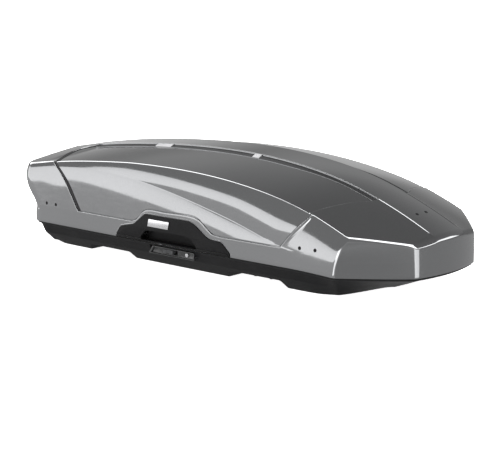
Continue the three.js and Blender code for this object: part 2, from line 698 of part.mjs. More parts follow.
function addClamps() {
  for (const end of ["rear", "front"])
    for (const [side, sign] of [["right", -1], ["left", 1]]) {
      const at = [CLAMP_XS[end], sign * CLAMP_Y, CLAMP_FLOOR[end]];
      const tag = `${end}_${side}`;
      add(`clamp_rail_${tag}`, clampRail(...at), "alu");
      add(`clamp_housing_${tag}`, clampHousing(...at), "black");
      add(`clamp_knob_${tag}`, clampKnob(...at), "grey");
      add(`clamp_claw_${tag}_a`, clampClaw(...at, 1), "trim");
      add(`clamp_claw_${tag}_b`, clampClaw(...at, -1), "trim");
    }
}

function addInnerParts() {
  add("lid_brace_rear", lidBrace(-350), "black");
  add("lid_brace_front", lidBrace(300), "black");
  add("nose_seal", noseSeal(), "rubber");
  add("load_strap", loadStrap(-70), "web");
  add("strap_buckle", strapBuckle(-70), "black");
}

add("lid_shell", cut(lidShell(), handleHole(), flipY(handleHole())), "lid");
const tray = baseShell();
add("tray_rear", trayLength(tray, -1100, TRAY_JOINTS[0] - 0.15), "black");
add("tray_middle", trayLength(tray, TRAY_JOINTS[0] + 0.15, TRAY_JOINTS[1] - 0.15), "black");
add("tray_front", trayLength(tray, TRAY_JOINTS[1] + 0.15, 1100), "black");
addSideParts();
addLifters();
addClamps();
addInnerParts();

export default group;
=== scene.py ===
import json
import math

import bmesh
import bpy
import numpy as np
from mathutils import Matrix, Vector

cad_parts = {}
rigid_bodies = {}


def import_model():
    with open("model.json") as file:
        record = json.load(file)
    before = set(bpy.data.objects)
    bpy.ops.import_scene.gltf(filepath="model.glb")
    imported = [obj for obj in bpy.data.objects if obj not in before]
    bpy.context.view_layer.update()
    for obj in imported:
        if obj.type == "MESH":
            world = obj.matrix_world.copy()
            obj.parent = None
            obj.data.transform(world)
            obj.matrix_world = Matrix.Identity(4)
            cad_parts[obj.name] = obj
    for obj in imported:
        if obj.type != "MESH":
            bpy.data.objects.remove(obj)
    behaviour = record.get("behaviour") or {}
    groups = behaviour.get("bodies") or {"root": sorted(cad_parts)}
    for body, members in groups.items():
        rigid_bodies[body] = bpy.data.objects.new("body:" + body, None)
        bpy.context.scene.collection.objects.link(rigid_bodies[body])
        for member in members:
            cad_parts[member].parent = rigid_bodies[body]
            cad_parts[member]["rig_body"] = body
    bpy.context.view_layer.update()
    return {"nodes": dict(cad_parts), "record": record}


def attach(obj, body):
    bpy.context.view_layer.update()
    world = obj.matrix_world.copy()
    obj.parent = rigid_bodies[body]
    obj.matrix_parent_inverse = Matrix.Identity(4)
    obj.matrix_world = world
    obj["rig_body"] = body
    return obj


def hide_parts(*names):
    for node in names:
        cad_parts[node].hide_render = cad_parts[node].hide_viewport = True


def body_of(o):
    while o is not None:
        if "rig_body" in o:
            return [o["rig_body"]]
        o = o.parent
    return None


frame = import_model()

MM = 0.001
SLOT_OF = {row["node"]: row["material_slot"] for row in frame["record"]["subparts"]}

# ---- Driving dimensions of the lid and tray, in millimetres ---------------
NOSE_X = 1033
NOSE_CORNER = (1004, 200)
SIDE_CORNER = {"lip": 777, "top": 811}
REAR_RADIUS = 70
SPINE_HALF = 94
GROOVE_OUT = 122
SPINE_STEP = 9
SKIRT_Z = 177
STRIP_W = 22
STRIP_BLEND_END = 0.8 * STRIP_W
STRIP_BLEND_WIDTH = 0.6 * STRIP_W
PANEL_DEPTH = 3
HANDLE_Y = 440
HANDLE_OUTLINE = [
    (-389, 103), (-389, 116), (-363, 150), (-282, 168), (-218, 219), (34, 220),
    (70, 208), (141, 163), (170, 158), (214, 157), (262, 115), (262, 103),
]


# ---- Small maths -----------------------------------------------------------
def smooth(t):
    t = np.clip(t, 0, 1)
    return t * t * (3 - 2 * t)


def lerp(a, b, t):
    return a + (b - a) * t


def spline(points):
    """A natural cubic through the points, straight beyond its ends."""
    xs, ys = np.array(points, float).T
    n, h = len(xs), np.diff(xs)
    d = np.diff(ys) / h
    rows, rhs = np.eye(n), np.zeros(n)
    for i in range(1, n - 1):
        rows[i, i - 1 : i + 2] = h[i - 1], 2 * (h[i - 1] + h[i]), h[i]
        rhs[i] = 6 * (d[i] - d[i - 1])
    m = np.linalg.solve(rows, rhs)
    start = d[0] - h[0] * (2 * m[0] + m[1]) / 6
    end = d[-1] + h[-1] * (m[-2] + 2 * m[-1]) / 6

    def value(x):
        x = np.asarray(x, float)
        t = np.clip(x, xs[0], xs[-1])
        k = np.clip(np.searchsorted(xs, t) - 1, 0, n - 2)
        a, b, w = xs[k + 1] - t, t - xs[k], h[k]
        cubic = (m[k] * a**3 + m[k + 1] * b**3) / (6 * w)
        cubic += (ys[k] / w - m[k] * w / 6) * a + (ys[k + 1] / w - m[k + 1] * w / 6) * b
        return cubic + np.minimum(x - xs[0], 0) * start + np.maximum(x - xs[-1], 0) * end

    return value


def curve(points):
    """A Hermite curve through the points with averaged slopes, straight beyond its ends."""
    xs, ys = np.array(points, float).T
    d = np.diff(ys) / np.diff(xs)
    m = np.concatenate([[d[0]], (d[:-1] + d[1:]) / 2, [d[-1]]])

    def value(x):
        x = np.asarray(x, float)
        s = np.clip(x, xs[0], xs[-1])
        k = np.clip(np.searchsorted(xs, s) - 1, 0, len(xs) - 2)
        h = xs[k + 1] - xs[k]
        t = (s - xs[k]) / h
        low = (1 + 2 * t) * (1 - t) ** 2 * ys[k] + t * (1 - t) ** 2 * h * m[k]
        high = t * t * (3 - 2 * t) * ys[k + 1] + t * t * (t - 1) * h * m[k + 1]
        return low + high + np.minimum(x - xs[0], 0) * m[0] + np.maximum(x - xs[-1], 0) * m[-1]

    return value


# ---- The lid's form --------------------------------------------------------
spine_z = spline([
    (-1033, 391), (-783, 428), (-436, 461), (-43, 474), (150, 467),
    (395, 440), (619, 391), (744, 349), (893, 289), (1010, 234),
])
crease_z = spline([
    (-1000, 340), (-738, 362), (-541, 369), (-328, 358), (-58, 318), (116, 282), (257, 249), (426, 203),
])
upper_start = curve([
    (-1000, -70), (-700, -60), (-420, -16), (-283, -4), (22, 31), (274, 54), (408, 54), (800, 54),
])
curl_height = curve([(-1000, 52), (-722, 52), (-350, 80), (-100, 76), (120, 64), (420, 64)])
lip_half_width = spline([(-1000, 432), (-400, 436), (200, 434), (777, 424)])
shoulder_inset = spline([(-1000, 24), (-750, 24), (-300, 32), (100, 40), (500, 40), (811, 34)])
rear_x = curve([
    (100, -965), (155, -962), (162, -958), (255, -1020), (310, -1033), (355, -1026), (400, -1008),
])
strip_x = spline([(100, -570), (177, -634), (257, -689), (332, -753), (375, -812)])
strip_top_x = spline([(94, -850), (122, -867), (180, -892), (250, -884), (330, -850), (400, -812)])
seam_x = spline([(100, 460), (179, 518), (302, 632)])
seam_top_x = spline([(94, 742), (122, 735), (180, 701), (250, 672), (330, 645), (400, 632)])
border_line = curve([
    (-300, 178), (-285, 180), (-262, 194), (-235, 223), (-212, 234), (-100, 237),
    (15, 240), (60, 238), (92, 228), (130, 202), (160, 182), (190, 177), (300, 176),
])


def lip_z(x):
    return 101 - 15 * smooth((x - 560) / 440)


def border_z(x):
    """Height of the line where the inset side panel starts, which climbs over the grip handle."""
    return np.where((x > -300) & (x < 300), border_line(x), np.where(x < 0, 178, 176))


def top_z(x, y):
    """Height of the top: a nearly flat spine, a step down across the groove, then a gentle fall."""
    y = np.abs(y)
    out = np.maximum(0, y - SPINE_HALF) / 306
    crown = 5 * (1 - (np.minimum(y, SPINE_HALF) / SPINE_HALF) ** 2) * smooth((x - 200) / 500)
    fall = 43 + np.maximum(0, 32 * (x + 338) / 1150)
    step = SPINE_STEP * smooth((x + 880) / 60) * smooth((620 - x) / 380)
    down = step * smooth((y - SPINE_HALF) / (GROOVE_OUT - SPINE_HALF))
    return spine_z(x) + crown - down - (fall - step) * (0.8 * out + 0.2 * out * out)


def shoulder_z(x):
    return top_z(x, lip_half_width(x) - shoulder_inset(x))


def raw_lean(x, z, top, rear, front):
    """Upright, curling in under the crease, then upright again and curling in to the shoulder."""
    skirt = SKIRT_Z - 27 * front * smooth((x - 500) / 190)
    crease = np.minimum(np.maximum(crease_z(x), skirt + 5), top - 20)
    curl = np.minimum(lerp(curl_height(x), lerp(64, 96, smooth((x + 900) / 140)), rear), crease - skirt)
    start = np.minimum(lerp(upper_start(x), -12, front), 0.6 * (top - crease))
    below, above = np.minimum(z, crease), np.maximum(0, z - crease)
    under = 0.165 * np.maximum(0, below - crease + curl) ** 2 / (2 * curl)

    def over(t):
        return 0.36 * np.maximum(0, t - start) ** 2 / (2 * (top - crease - start))

    return 0.035 * np.maximum(0, below - skirt) + under + 0.02 * above + over(above) - over(0)


def side_y(x, z):
    top = shoulder_z(x)
    rear = smooth((strip_x(z) + STRIP_BLEND_END - x) / STRIP_BLEND_WIDTH)
    front = smooth((x - seam_x(z) - 2) / 12)
    lean = raw_lean(x, np.minimum(z, top), top, rear, front) / raw_lean(x, top, top, rear, front)
    return lip_half_width(x) - shoulder_inset(x) * lean


def rear_edge_x(y, z):
    return rear_x(z) + 9 * (y / 430) ** 2


# ---- Stations: columns run from the rear to the nose, rows from the edge to the middle -----
ARC_DEGREES = np.arange(45, -1, -5.0)
ARC_SHARES = (REAR_RADIUS * np.sin(np.radians(ARC_DEGREES)) + 232) / 281.5
FLAT_SHARES = np.array([0.76, 0.68, 0.6, 0.52, 0.44, 0.36, 0.28, 0.2, 0.13, 0.07, 0.03])
SHARES = np.concatenate([ARC_SHARES, FLAT_SHARES])
SHARE_BASE = 130
FINE_YS = np.array([
    130, 127, 125, 124.2, 123.5, 121.8, 121.1, 120.5, 119.6, 118.9, 118.3, 112, 106, 100,
    95.6, 95.1, 94.6, 94, 93.2, 92, 90, 86, 78, 66, 50, 34, 17, 0,
])
ROWS = len(SHARES) + len(FINE_YS)
EDGE_DX = [-8, -4, -2, -1, -0.3, 0.3, 0.7, 1.2]
STRIP_DX = EDGE_DX + [5, 11, 17, 20.8, 21.3, 22, 23, 25, 28]
SEAM_DX = [-16, -9, -4.4, -3.5, -2.9, -1, -0.6, -0.2, 0.4, 1.4, 3, 6, 10]
CORNER_CUT = 13
BEND_CUT = 12.3


def row_y(row, edge):
    """|y| of a row whose outer end is at edge."""
    if row < len(SHARES):
        return lerp(SHARE_BASE, edge, SHARES[row])
    return np.full_like(edge, FINE_YS[row - len(SHARES)])


COLUMNS = (
    [("arc", d) for d in np.arange(50, 90, 5.0)]
    + [("rear", t) for t in np.linspace(0, 1, 13)[:-1]]
    + [("strip", d) for d in STRIP_DX]
    + [("panel", t) for t in np.linspace(0, 1, 62)[1:-1]]
    + [("seam", d) for d in SEAM_DX]
    + [("front", t) for t in np.linspace(0, 1, 20)[1:]]
    + [("turn", t) for t in np.linspace(0, 1, 8)[1:]]
    + [("facet", t) for t in np.linspace(0, 1, 14)[1:]]
    + [("bend", t) for t in (0.15, 0.3, 0.42)]
)
FRONT_BEND = np.linspace(0.5, 1, len(ARC_DEGREES))

# Levels as weights of lip, border, crease and last heights, and an offset.
LEVELS = np.array(
    [(1, 0, 0, 0, d) for d in (0, 0.5, 1.4)]
    + [(1 - t, t, 0, 0, -6 * t) for t in (0.2, 0.4, 0.6, 0.8)]
    + [(0, 1, 0, 0, d) for d in (-6, -2, -1, -0.3, 0.3, 0.7, 1.1, 3.1, 3.6, 4.4, 7, 10)]
    + [(0, 1 - t, t, 0, 10 - 25 * t) for t in np.linspace(0, 1, 12)[1:]]
    + [(0, 0, 1, 0, d) for d in (-9, -5, -2.4, 0, 2.4, 5, 9)]
    + [(0, 0, 1 - t, t, 15 - 15 * t) for t in np.linspace(0, 1, 15)]
)
INNER_LEVELS = np.array(
    [(1, 0, 0, 0, 0), (0.5, 0.5, 0, 0, 0), (0, 1, 0, 0, -8), (0, 1, 0, 0, 8), (0, 0.5, 0.5, 0, 0)]
    + [(0, 0, 1, 0, d) for d in (-15, 0, 15)]
    + [(0, 0, 1 - t, t, 15 - 15 * t) for t in (0.33, 0.66, 1)]
)


def bezier(a, control, b, t):
    return (1 - t) ** 2 * a + 2 * t * (1 - t) * control + t * t * b


class Ring:
    """Plan positions of one half of the lid's wall on every level, from the rear centre to the nose."""

    def __init__(self, levels):
        self.levels = levels
        self.zones = (
            [("back", r) for r in range(ROWS - 1, len(ARC_DEGREES) - 1, -1)]
            + [("arc", d) for d in ARC_DEGREES[::-1]]
            + COLUMNS
            + [("bend", t) for t in FRONT_BEND]
            + [("nose", r) for r in range(len(ARC_DEGREES), ROWS)]
        )
        self.side = slice(ROWS - 1, ROWS + len(COLUMNS) + 1)
        self.solve()

    def solve(self):
        shape = (len(self.levels), len(self.zones))
        self.x = np.tile(np.linspace(-1000, 1000, shape[1]), (shape[0], 1))
        self.y = np.full(shape, 400.0)
        self.z = np.full(shape, 200.0)
        kinds = np.array([k for k, _ in self.zones])
        on_side = np.isin(kinds, ["rear", "strip", "panel", "seam", "front"])
        border_rear = np.isin(kinds, ["back", "arc"])
        border_nose = np.isin(kinds, ["facet", "bend", "nose"])
        self.strip_u = np.zeros(shape)
        self.seam_u = np.zeros(shape)
        for _ in range(12):
            top = np.where(on_side, shoulder_z(self.x), top_z(self.x, self.y))
            border = np.where(border_rear, 156, np.where(border_nose, 150, border_z(self.x)))
            last = top - 12 - 7 * self.nose_share()
            crease = np.clip(crease_z(self.x), border + 26, None)
            crease = np.minimum(crease, last - 20)
            parts = [lip_z(self.x), border, crease, last]
            w = self.levels
            z = sum(w[:, k, None] * part for k, part in enumerate(parts)) + w[:, 4, None]
            self.z = np.where(z > last, last, z)
            self.border, self.last, self.top = border, last, top
            for j, (kind, value) in enumerate(self.zones):
                self.place(j, kind, value)
        step = np.stack([np.gradient(self.x, axis=1), np.gradient(-self.y, axis=1)])
        step /= np.maximum(np.hypot(*step), 1e-9)
        self.nx, self.ny = -step[1], step[0]
        self.nx[:, 0], self.ny[:, 0] = 1, 0
        self.nx[:, -1], self.ny[:, -1] = -1, 0

    def nose_share(self):
        return smooth((self.x - 985) / 25) * smooth((260 - self.y) / 60)

    def place(self, j, kind, value):
        z = self.z[:, j]
        center = side_y(-950, z) - REAR_RADIUS
        climb = np.clip((z - self.levels_lip(j)) / (self.last[:, j] - self.levels_lip(j)), 0, 1) ** 1.4
        corner = lerp(SIDE_CORNER["lip"], SIDE_CORNER["top"], climb)
        c1 = np.stack([corner, side_y(corner, z)])
        c2 = np.stack([NOSE_CORNER[0] - 3 * climb, np.full_like(z, NOSE_CORNER[1])])
        along = (c2 - c1) / np.hypot(*(c2 - c1))
        turn_out = c1 + CORNER_CUT * along
        bend_in = c2 - BEND_CUT * along

        def nose_x(y):
            return NOSE_X - (NOSE_X - NOSE_CORNER[0]) * (y / NOSE_CORNER[1]) ** 2 - 3 * climb

        bend_y = NOSE_CORNER[1] - BEND_CUT
        seam = seam_x(z)
        if kind == "back":
            y = row_y(value, center + REAR_RADIUS * math.sin(math.pi / 4))
            x = rear_edge_x(y, z)
        elif kind == "arc":
            a = math.radians(value)
            y = center + REAR_RADIUS * math.sin(a)
            x = rear_edge_x(center, z) + REAR_RADIUS * (1 - math.cos(a))
        elif kind == "turn":
            start = corner - CORNER_CUT
            x, y = bezier(np.stack([start, side_y(start, z)]), c1, turn_out, value)
        elif kind == "facet":
            x, y = lerp(turn_out, bend_in, value)
        elif kind == "bend":
            x, y = bezier(bend_in, c2, np.stack([nose_x(bend_y), np.full_like(z, bend_y)]), value)
        elif kind == "nose":
            y = row_y(value, np.full_like(z, float(NOSE_CORNER[1])))
            x = nose_x(y)
        else:
            first = rear_edge_x(center, z) + REAR_RADIUS
            x = {
                "rear": lambda: lerp(first, strip_x(z) + STRIP_DX[0], value),
                "strip": lambda: strip_x(z) + value,
                "panel": lambda: lerp(strip_x(z) + STRIP_DX[-1], seam + SEAM_DX[0], value),
                "seam": lambda: seam + value,
                "front": lambda: lerp(seam + SEAM_DX[-1], corner - CORNER_CUT, value),
            }[kind]()
            y = side_y(x, z)
        self.x[:, j], self.y[:, j] = x, y
        self.strip_u[:, j] = value if kind == "strip" else x - strip_x(z)
        self.seam_u[:, j] = -value if kind == "seam" else seam - x

    def levels_lip(self, j):
        return lip_z(self.x[:, j])


# ---- Recesses --------------------------------------------------------------
STRIP_PROFILE = ([-2, -1, -0.3, 0.3, 0.7, 1.2, 20.8, 21.3, 22], [0, 0.1, 0.5, 1.6, 4.2, 5, 5, 4.4, 3])
EDGE_PROFILE = ([-2, -1, -0.4, 0.2, 0.6, 1, 2.9, 3.5, 4.4], [0, 0.1, 0.5, 1.6, 4.4, 6, 6, 3.8, 3])
BORDER_PROFILE = ([-2, -1, -0.3, 0.3, 0.7, 1.1, 3.1, 3.6, 4.4], [0, 0.1, 0.5, 1.6, 4.4, 6, 6, 3.8, 3])
JOINT_PROFILE = ([93.2, 94, 94.6, 95.1, 95.6, 300], [0, 0.2, 0.9, 3, 5.1, 5.1])
GROOVE_PROFILE = (
    [93.2, 94, 94.6, 95.1, 95.6, 118.3, 118.9, 119.6, 120.5, 121.1, 121.8, 123.5, 124.2, 125],
    [0, 0.2, 0.9, 3, 9, 9, 2.6, 1.2, 1.2, 2.6, 8, 8, 3.6, 3],
)
INNER_STRIP = ([-12, -6, 26, 34], [0, 5.5, 5.5, 3])
INNER_EDGE = ([-12, -6, 9, 16], [0, 6, 6, 3])
INNER_GROOVE = ([78, 88, 130, 142], [0, 9.5, 9.5, 3])


def recess(*profiles):
    """Where every edge is passed the deepest counts, elsewhere the shallowest."""
    stack = np.stack(np.broadcast_arrays(*profiles))
    low = stack.min(0)
    return np.where(low < PANEL_DEPTH, low, stack.max(0))


# ---- One skin of the lid ---------------------------------------------------
# A depth is a function of the distances past the strip and the seam, the height over the border, and |y|.
# The wall passes |y| as None, and the top passes the height over the border as None.
def paint_depth(strip, seam, over, y):
    if y is None:
        third = np.interp(over, *BORDER_PROFILE)
    else:
        third = np.where(strip < 21.2, np.interp(y, *JOINT_PROFILE), np.interp(y, *GROOVE_PROFILE))
    return recess(np.interp(strip, *STRIP_PROFILE), np.interp(seam, *EDGE_PROFILE), third)


def liner_depth(strip, seam, over, y):
    third = np.interp(over, *INNER_EDGE) if y is None else np.interp(y, *INNER_GROOVE)
    return 4 + recess(np.interp(strip, *INNER_STRIP), np.interp(seam, *INNER_EDGE), third)


def ribbon_depth(strip, seam, over, y):
    """The face of the trim in the strip's recess and in the groove."""
    across = np.interp(strip, [1.2, 2.4, 11, 18, 20.8], [4.2, 1.6, 1.0, 1.4, 4.2])
    if y is None:
        return across
    along = np.interp(y, [95.6, 97, 107, 117, 118.3], [4.6, 3.6, 3.3, 3.6, 4.6])
    return np.where(strip < 21.2, np.where(y < 99, np.maximum(across, 3.6), across), along)


def ribbon_back(strip, seam, over, y):
    return np.full_like(strip, 4.8)


def groove_back(strip, seam, over, y):
    return np.full_like(strip, 8.5)


FILLET_STEPS = 7


def top_grid(ring, rim):
    """x, y and the distances to strip and seam for the top's columns and rows."""
    side = ring.side
    edge_x, edge_y = rim[0][side], rim[1][side]
    cols = len(edge_x)
    rear_x_row = rim[0][:ROWS][::-1]
    rear_y_row = rim[1][:ROWS][::-1]
    nose_x_row = rim[0][-ROWS:]
    nose_y_row = rim[1][-ROWS:]
    kinds = ["arc"] + [k for k, _ in COLUMNS] + ["bend"]
    first = {k: kinds.index(k) for k in ("strip", "seam", "turn")}
    last_of = {k: cols - 1 - kinds[::-1].index(k) for k in ("strip", "seam")}
    corner = first["turn"] + 3
    strip_shift = edge_x[first["strip"]] - STRIP_DX[0] - strip_top_x(edge_y[first["strip"]])
    seam_shift = edge_x[last_of["seam"]] - SEAM_DX[-1] - seam_top_x(edge_y[last_of["seam"]])
    x, y = np.zeros((cols, ROWS)), np.zeros((cols, ROWS))
    for r in range(ROWS):
        yy = row_y(r, edge_y)
        ease = ((yy - SPINE_HALF) / (edge_y - SPINE_HALF)).clip(0, 1) ** 2
        strip = strip_top_x(yy) + strip_shift * ease
        seam = seam_top_x(yy) + seam_shift * ease
        stops = [0, first["strip"], last_of["strip"], first["seam"], last_of["seam"], corner, cols - 1]
        values = [
            rear_x_row[r],
            strip[first["strip"]] + STRIP_DX[0],
            strip[last_of["strip"]] + STRIP_DX[-1],
            seam[first["seam"]] + SEAM_DX[0],
            seam[last_of["seam"]] + SEAM_DX[-1],
            edge_x[corner],
            nose_x_row[r],
        ]
        x[:, r] = np.interp(edge_x, edge_x[stops], values)
        y[:, r] = yy
        for j, (kind, value) in enumerate([("arc", 45)] + COLUMNS):
            if kind == "strip":
                x[j, r] = strip[j] + value
            if kind == "seam":
                x[j, r] = seam[j] + value
        if r == 0:
            x[:, r] = edge_x
    x[0], y[0] = rear_x_row, rear_y_row
    x[-1], y[-1] = nose_x_row, nose_y_row
    ease = ((y - SPINE_HALF) / (edge_y[:, None] - SPINE_HALF)).clip(0, 1) ** 2
    return x, y, x - strip_top_x(y) - strip_shift * ease, seam_top_x(y) + seam_shift * ease - x


def ridge(x, y):
    """The fine raised line that carries the groove's inner edge on to the nose."""
    return 1.6 * np.exp(-(((np.abs(y) - 93) / 2.2) ** 2)) * smooth((x - 700) / 60) * smooth((1000 - x) / 30)


def lid_skin(levels, depth_of):
    """Wall, fillet and top of one half, as arrays of points, pushed in by a depth."""
    outer = depth_of is paint_depth
    ring = Ring(levels)
    nx, ny = ring.nx, ring.ny
    wall_depth = depth_of(ring.strip_u, ring.seam_u, ring.z - ring.border, None)
    if outer:
        wall_depth[:3] += np.array([1.0, 0.3, 0])[:, None]
    flat = np.stack([ring.x, -ring.y, ring.z], -1)
    inward = np.stack([nx, ny, np.zeros_like(nx)], -1)
    wall = flat + inward * wall_depth[..., None]

    cut = 12 + 12 * ring.nose_share()[-1]
    w, n = flat[-1], inward[-1]
    rim = w + n * cut[:, None]
    rim[[0, -1], 1] = 0
    rim[:, 2] = top_z(rim[:, 0], rim[:, 1])
    nudge = rim + n
    rise = top_z(nudge[:, 0], nudge[:, 1]) - rim[:, 2]
    tangent = (flat[-1] - flat[-2]) / np.maximum(flat[-1, :, 2] - flat[-2, :, 2], 1e-6)[:, None]
    reach = (rim[:, 2] - w[:, 2] - cut * rise) / (1 - rise * (tangent * n).sum(1))
    control = w + tangent * np.maximum(reach, 2)[:, None]

    x, y, strip_u, seam_u = top_grid(ring, (rim[:, 0], -rim[:, 1]))
    top_depth = depth_of(strip_u, seam_u, None, y)
    raised = ridge(x, y) if outer else 0
    top = np.stack([x, -y, top_z(x, y) - top_depth + raised], -1)
    edge = np.concatenate([top[0, ::-1], top[1:-1, 0], top[-1]])

    down = np.array([0, 0, -1.0])
    edge_depth = wall_depth[-1][:, None]
    a, b = wall[-1], edge
    c = control + n * edge_depth + down * edge_depth
    chamfer = smooth((np.abs(rim[:, 1]) - 70) / 40) * ring.nose_share()[-1]
    fillet = []
    for t in np.linspace(0, 1, FILLET_STEPS + 1)[1:]:
        curved = bezier(a, c, b, t)
        straight = lerp(lerp(a, c, 0.35), lerp(b, c, 0.35), np.clip((t - 0.2) / 0.6, 0, 1))
        straight = lerp(lerp(a, straight, min(1, t / 0.2)), b, np.clip((t - 0.8) / 0.2, 0, 1))
        fillet.append(lerp(curved, straight, (chamfer * (t < 1))[:, None]))
    walls = np.concatenate([wall, np.stack(fillet)])
    walls[-1] = edge
    walls[:, [0, -1], 1] = 0
    return walls, top


def quads_of(grid_index, flip):
    a, b = grid_index[:-1, :-1].ravel(), grid_index[:-1, 1:].ravel()
    c, d = grid_index[1:, 1:].ravel(), grid_index[1:, :-1].ravel()
    return np.stack([a, d, c, b] if flip else [a, b, c, d], -1)


class MeshMaker:
    """Collects grids of points and turns them into one mesh, with its near half mirrored."""

    def __init__(self):
        self.points, self.faces, self.slots, self.count = [], [], [], 0

    def grid(self, points, flip=False, slot=0):
        rows, cols = points.shape[:2]
        index = np.arange(rows * cols).reshape(rows, cols) + self.count
        self.points.append(points.reshape(-1, 3))
        faces = quads_of(index, flip)
        self.faces.append(faces)
        self.slots.append(np.full(len(faces), slot))
        self.count += rows * cols
        return index

    def build(self, name, mirror=True, weld=2e-5):
        points, faces, slots = (np.concatenate(v) for v in (self.points, self.faces, self.slots))
        if mirror:
            other = points * [1, -1, 1]
            faces = np.concatenate([faces, faces[:, ::-1] + len(points)])
            points = np.concatenate([points, other])
            slots = np.concatenate([slots, slots])
        mesh = bpy.data.meshes.new(name)
        mesh.from_pydata((points * MM).tolist(), [], faces.tolist())
        mesh.polygons.foreach_set("material_index", slots.astype(np.int32))
        bm = bmesh.new()
        bm.from_mesh(mesh)
        bmesh.ops.remove_doubles(bm, verts=bm.verts, dist=weld)
        bmesh.ops.dissolve_degenerate(bm, edges=bm.edges, dist=1e-6)
        bm.to_mesh(mesh)
        bm.free()
        obj = bpy.data.objects.new(name, mesh)
        bpy.context.scene.collection.objects.link(obj)
        return obj


# ---- Mesh helpers ----------------------------------------------------------
def freeze(obj):
    """Applies an object's modifiers."""
    bpy.context.view_layer.update()
    result = obj.evaluated_get(bpy.context.evaluated_depsgraph_get())
    mesh = bpy.data.meshes.new_from_object(result)
    obj.modifiers.clear()
    obj.data = mesh
    return obj


def soften(obj, angle=34):
    obj.data.shade_smooth()
    obj.data.set_sharp_from_angle(angle=math.radians(angle))
    return obj


def boolean(obj, cutters, operation="DIFFERENCE"):
    for cutter in cutters:
        mod = obj.modifiers.new("cut", "BOOLEAN")
        mod.operation, mod.object, mod.solver = operation, cutter, "MANIFOLD"
        freeze(obj)
        bpy.data.objects.remove(cutter)
    return obj


def bevel(obj, width, segments=3, angle=30):
    mod = obj.modifiers.new("bevel", "BEVEL")
    mod.width, mod.segments = width * MM, segments
    mod.limit_method, mod.angle_limit = "ANGLE", math.radians(angle)
    mod.harden_normals = False
    return freeze(obj)


def rounded(points, radius, steps=5):
    """The outline with each corner rounded."""
    out, n = [], len(points)
    pts = [np.array(p, float) for p in points]
    for i, p in enumerate(pts):
        a, b = pts[i - 1] - p, pts[(i + 1) % n] - p
        cut = min(radius, 0.45 * np.linalg.norm(a), 0.45 * np.linalg.norm(b))
        start, end = p + a / np.linalg.norm(a) * cut, p + b / np.linalg.norm(b) * cut
        out += [tuple(bezier(start, p, end, t)) for t in np.linspace(0, 1, steps)]
    return out


def prism(name, points, y0, y1):
    """A solid whose outline lies in the XZ plane."""
    bm = bmesh.new()
    verts = [bm.verts.new((x * MM, y0 * MM, z * MM)) for x, z in points]
    face = bm.faces.new(verts)
    made = bmesh.ops.extrude_face_region(bm, geom=[face])["geom"]
    moved = [g for g in made if isinstance(g, bmesh.types.BMVert)]
    bmesh.ops.translate(bm, verts=moved, vec=(0, (y1 - y0) * MM, 0))
    bmesh.ops.recalc_face_normals(bm, faces=bm.faces)
    mesh = bpy.data.meshes.new(name)
    bm.to_mesh(mesh)
    bm.free()
    obj = bpy.data.objects.new(name, mesh)
    bpy.context.scene.collection.objects.link(obj)
    return obj


def block(name, x0, x1, y0, y1, z0, z1):
    return prism(name, [(x0, z0), (x1, z0), (x1, z1), (x0, z1)], y0, y1)


def flipped(obj, name):
    """The same piece on the left side."""
    mesh = obj.data.copy()
    mesh.transform(Matrix.Scale(-1, 4, (0, 1, 0)))
    mesh.flip_normals()
    copy = bpy.data.objects.new(name, mesh)
    bpy.context.scene.collection.objects.link(copy)
    return copy


def settle(obj, body, slot, *nodes):
    """Puts a finished piece on its body and hides the CAD nodes it replaces; the slot is not used."""
    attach(obj, body)
    if nodes:
        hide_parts(*nodes)
    return obj


# ---- Materials -------------------------------------------------------------
PAINT_LEVEL = 0.24
PAINT_ROUGH = 0.085


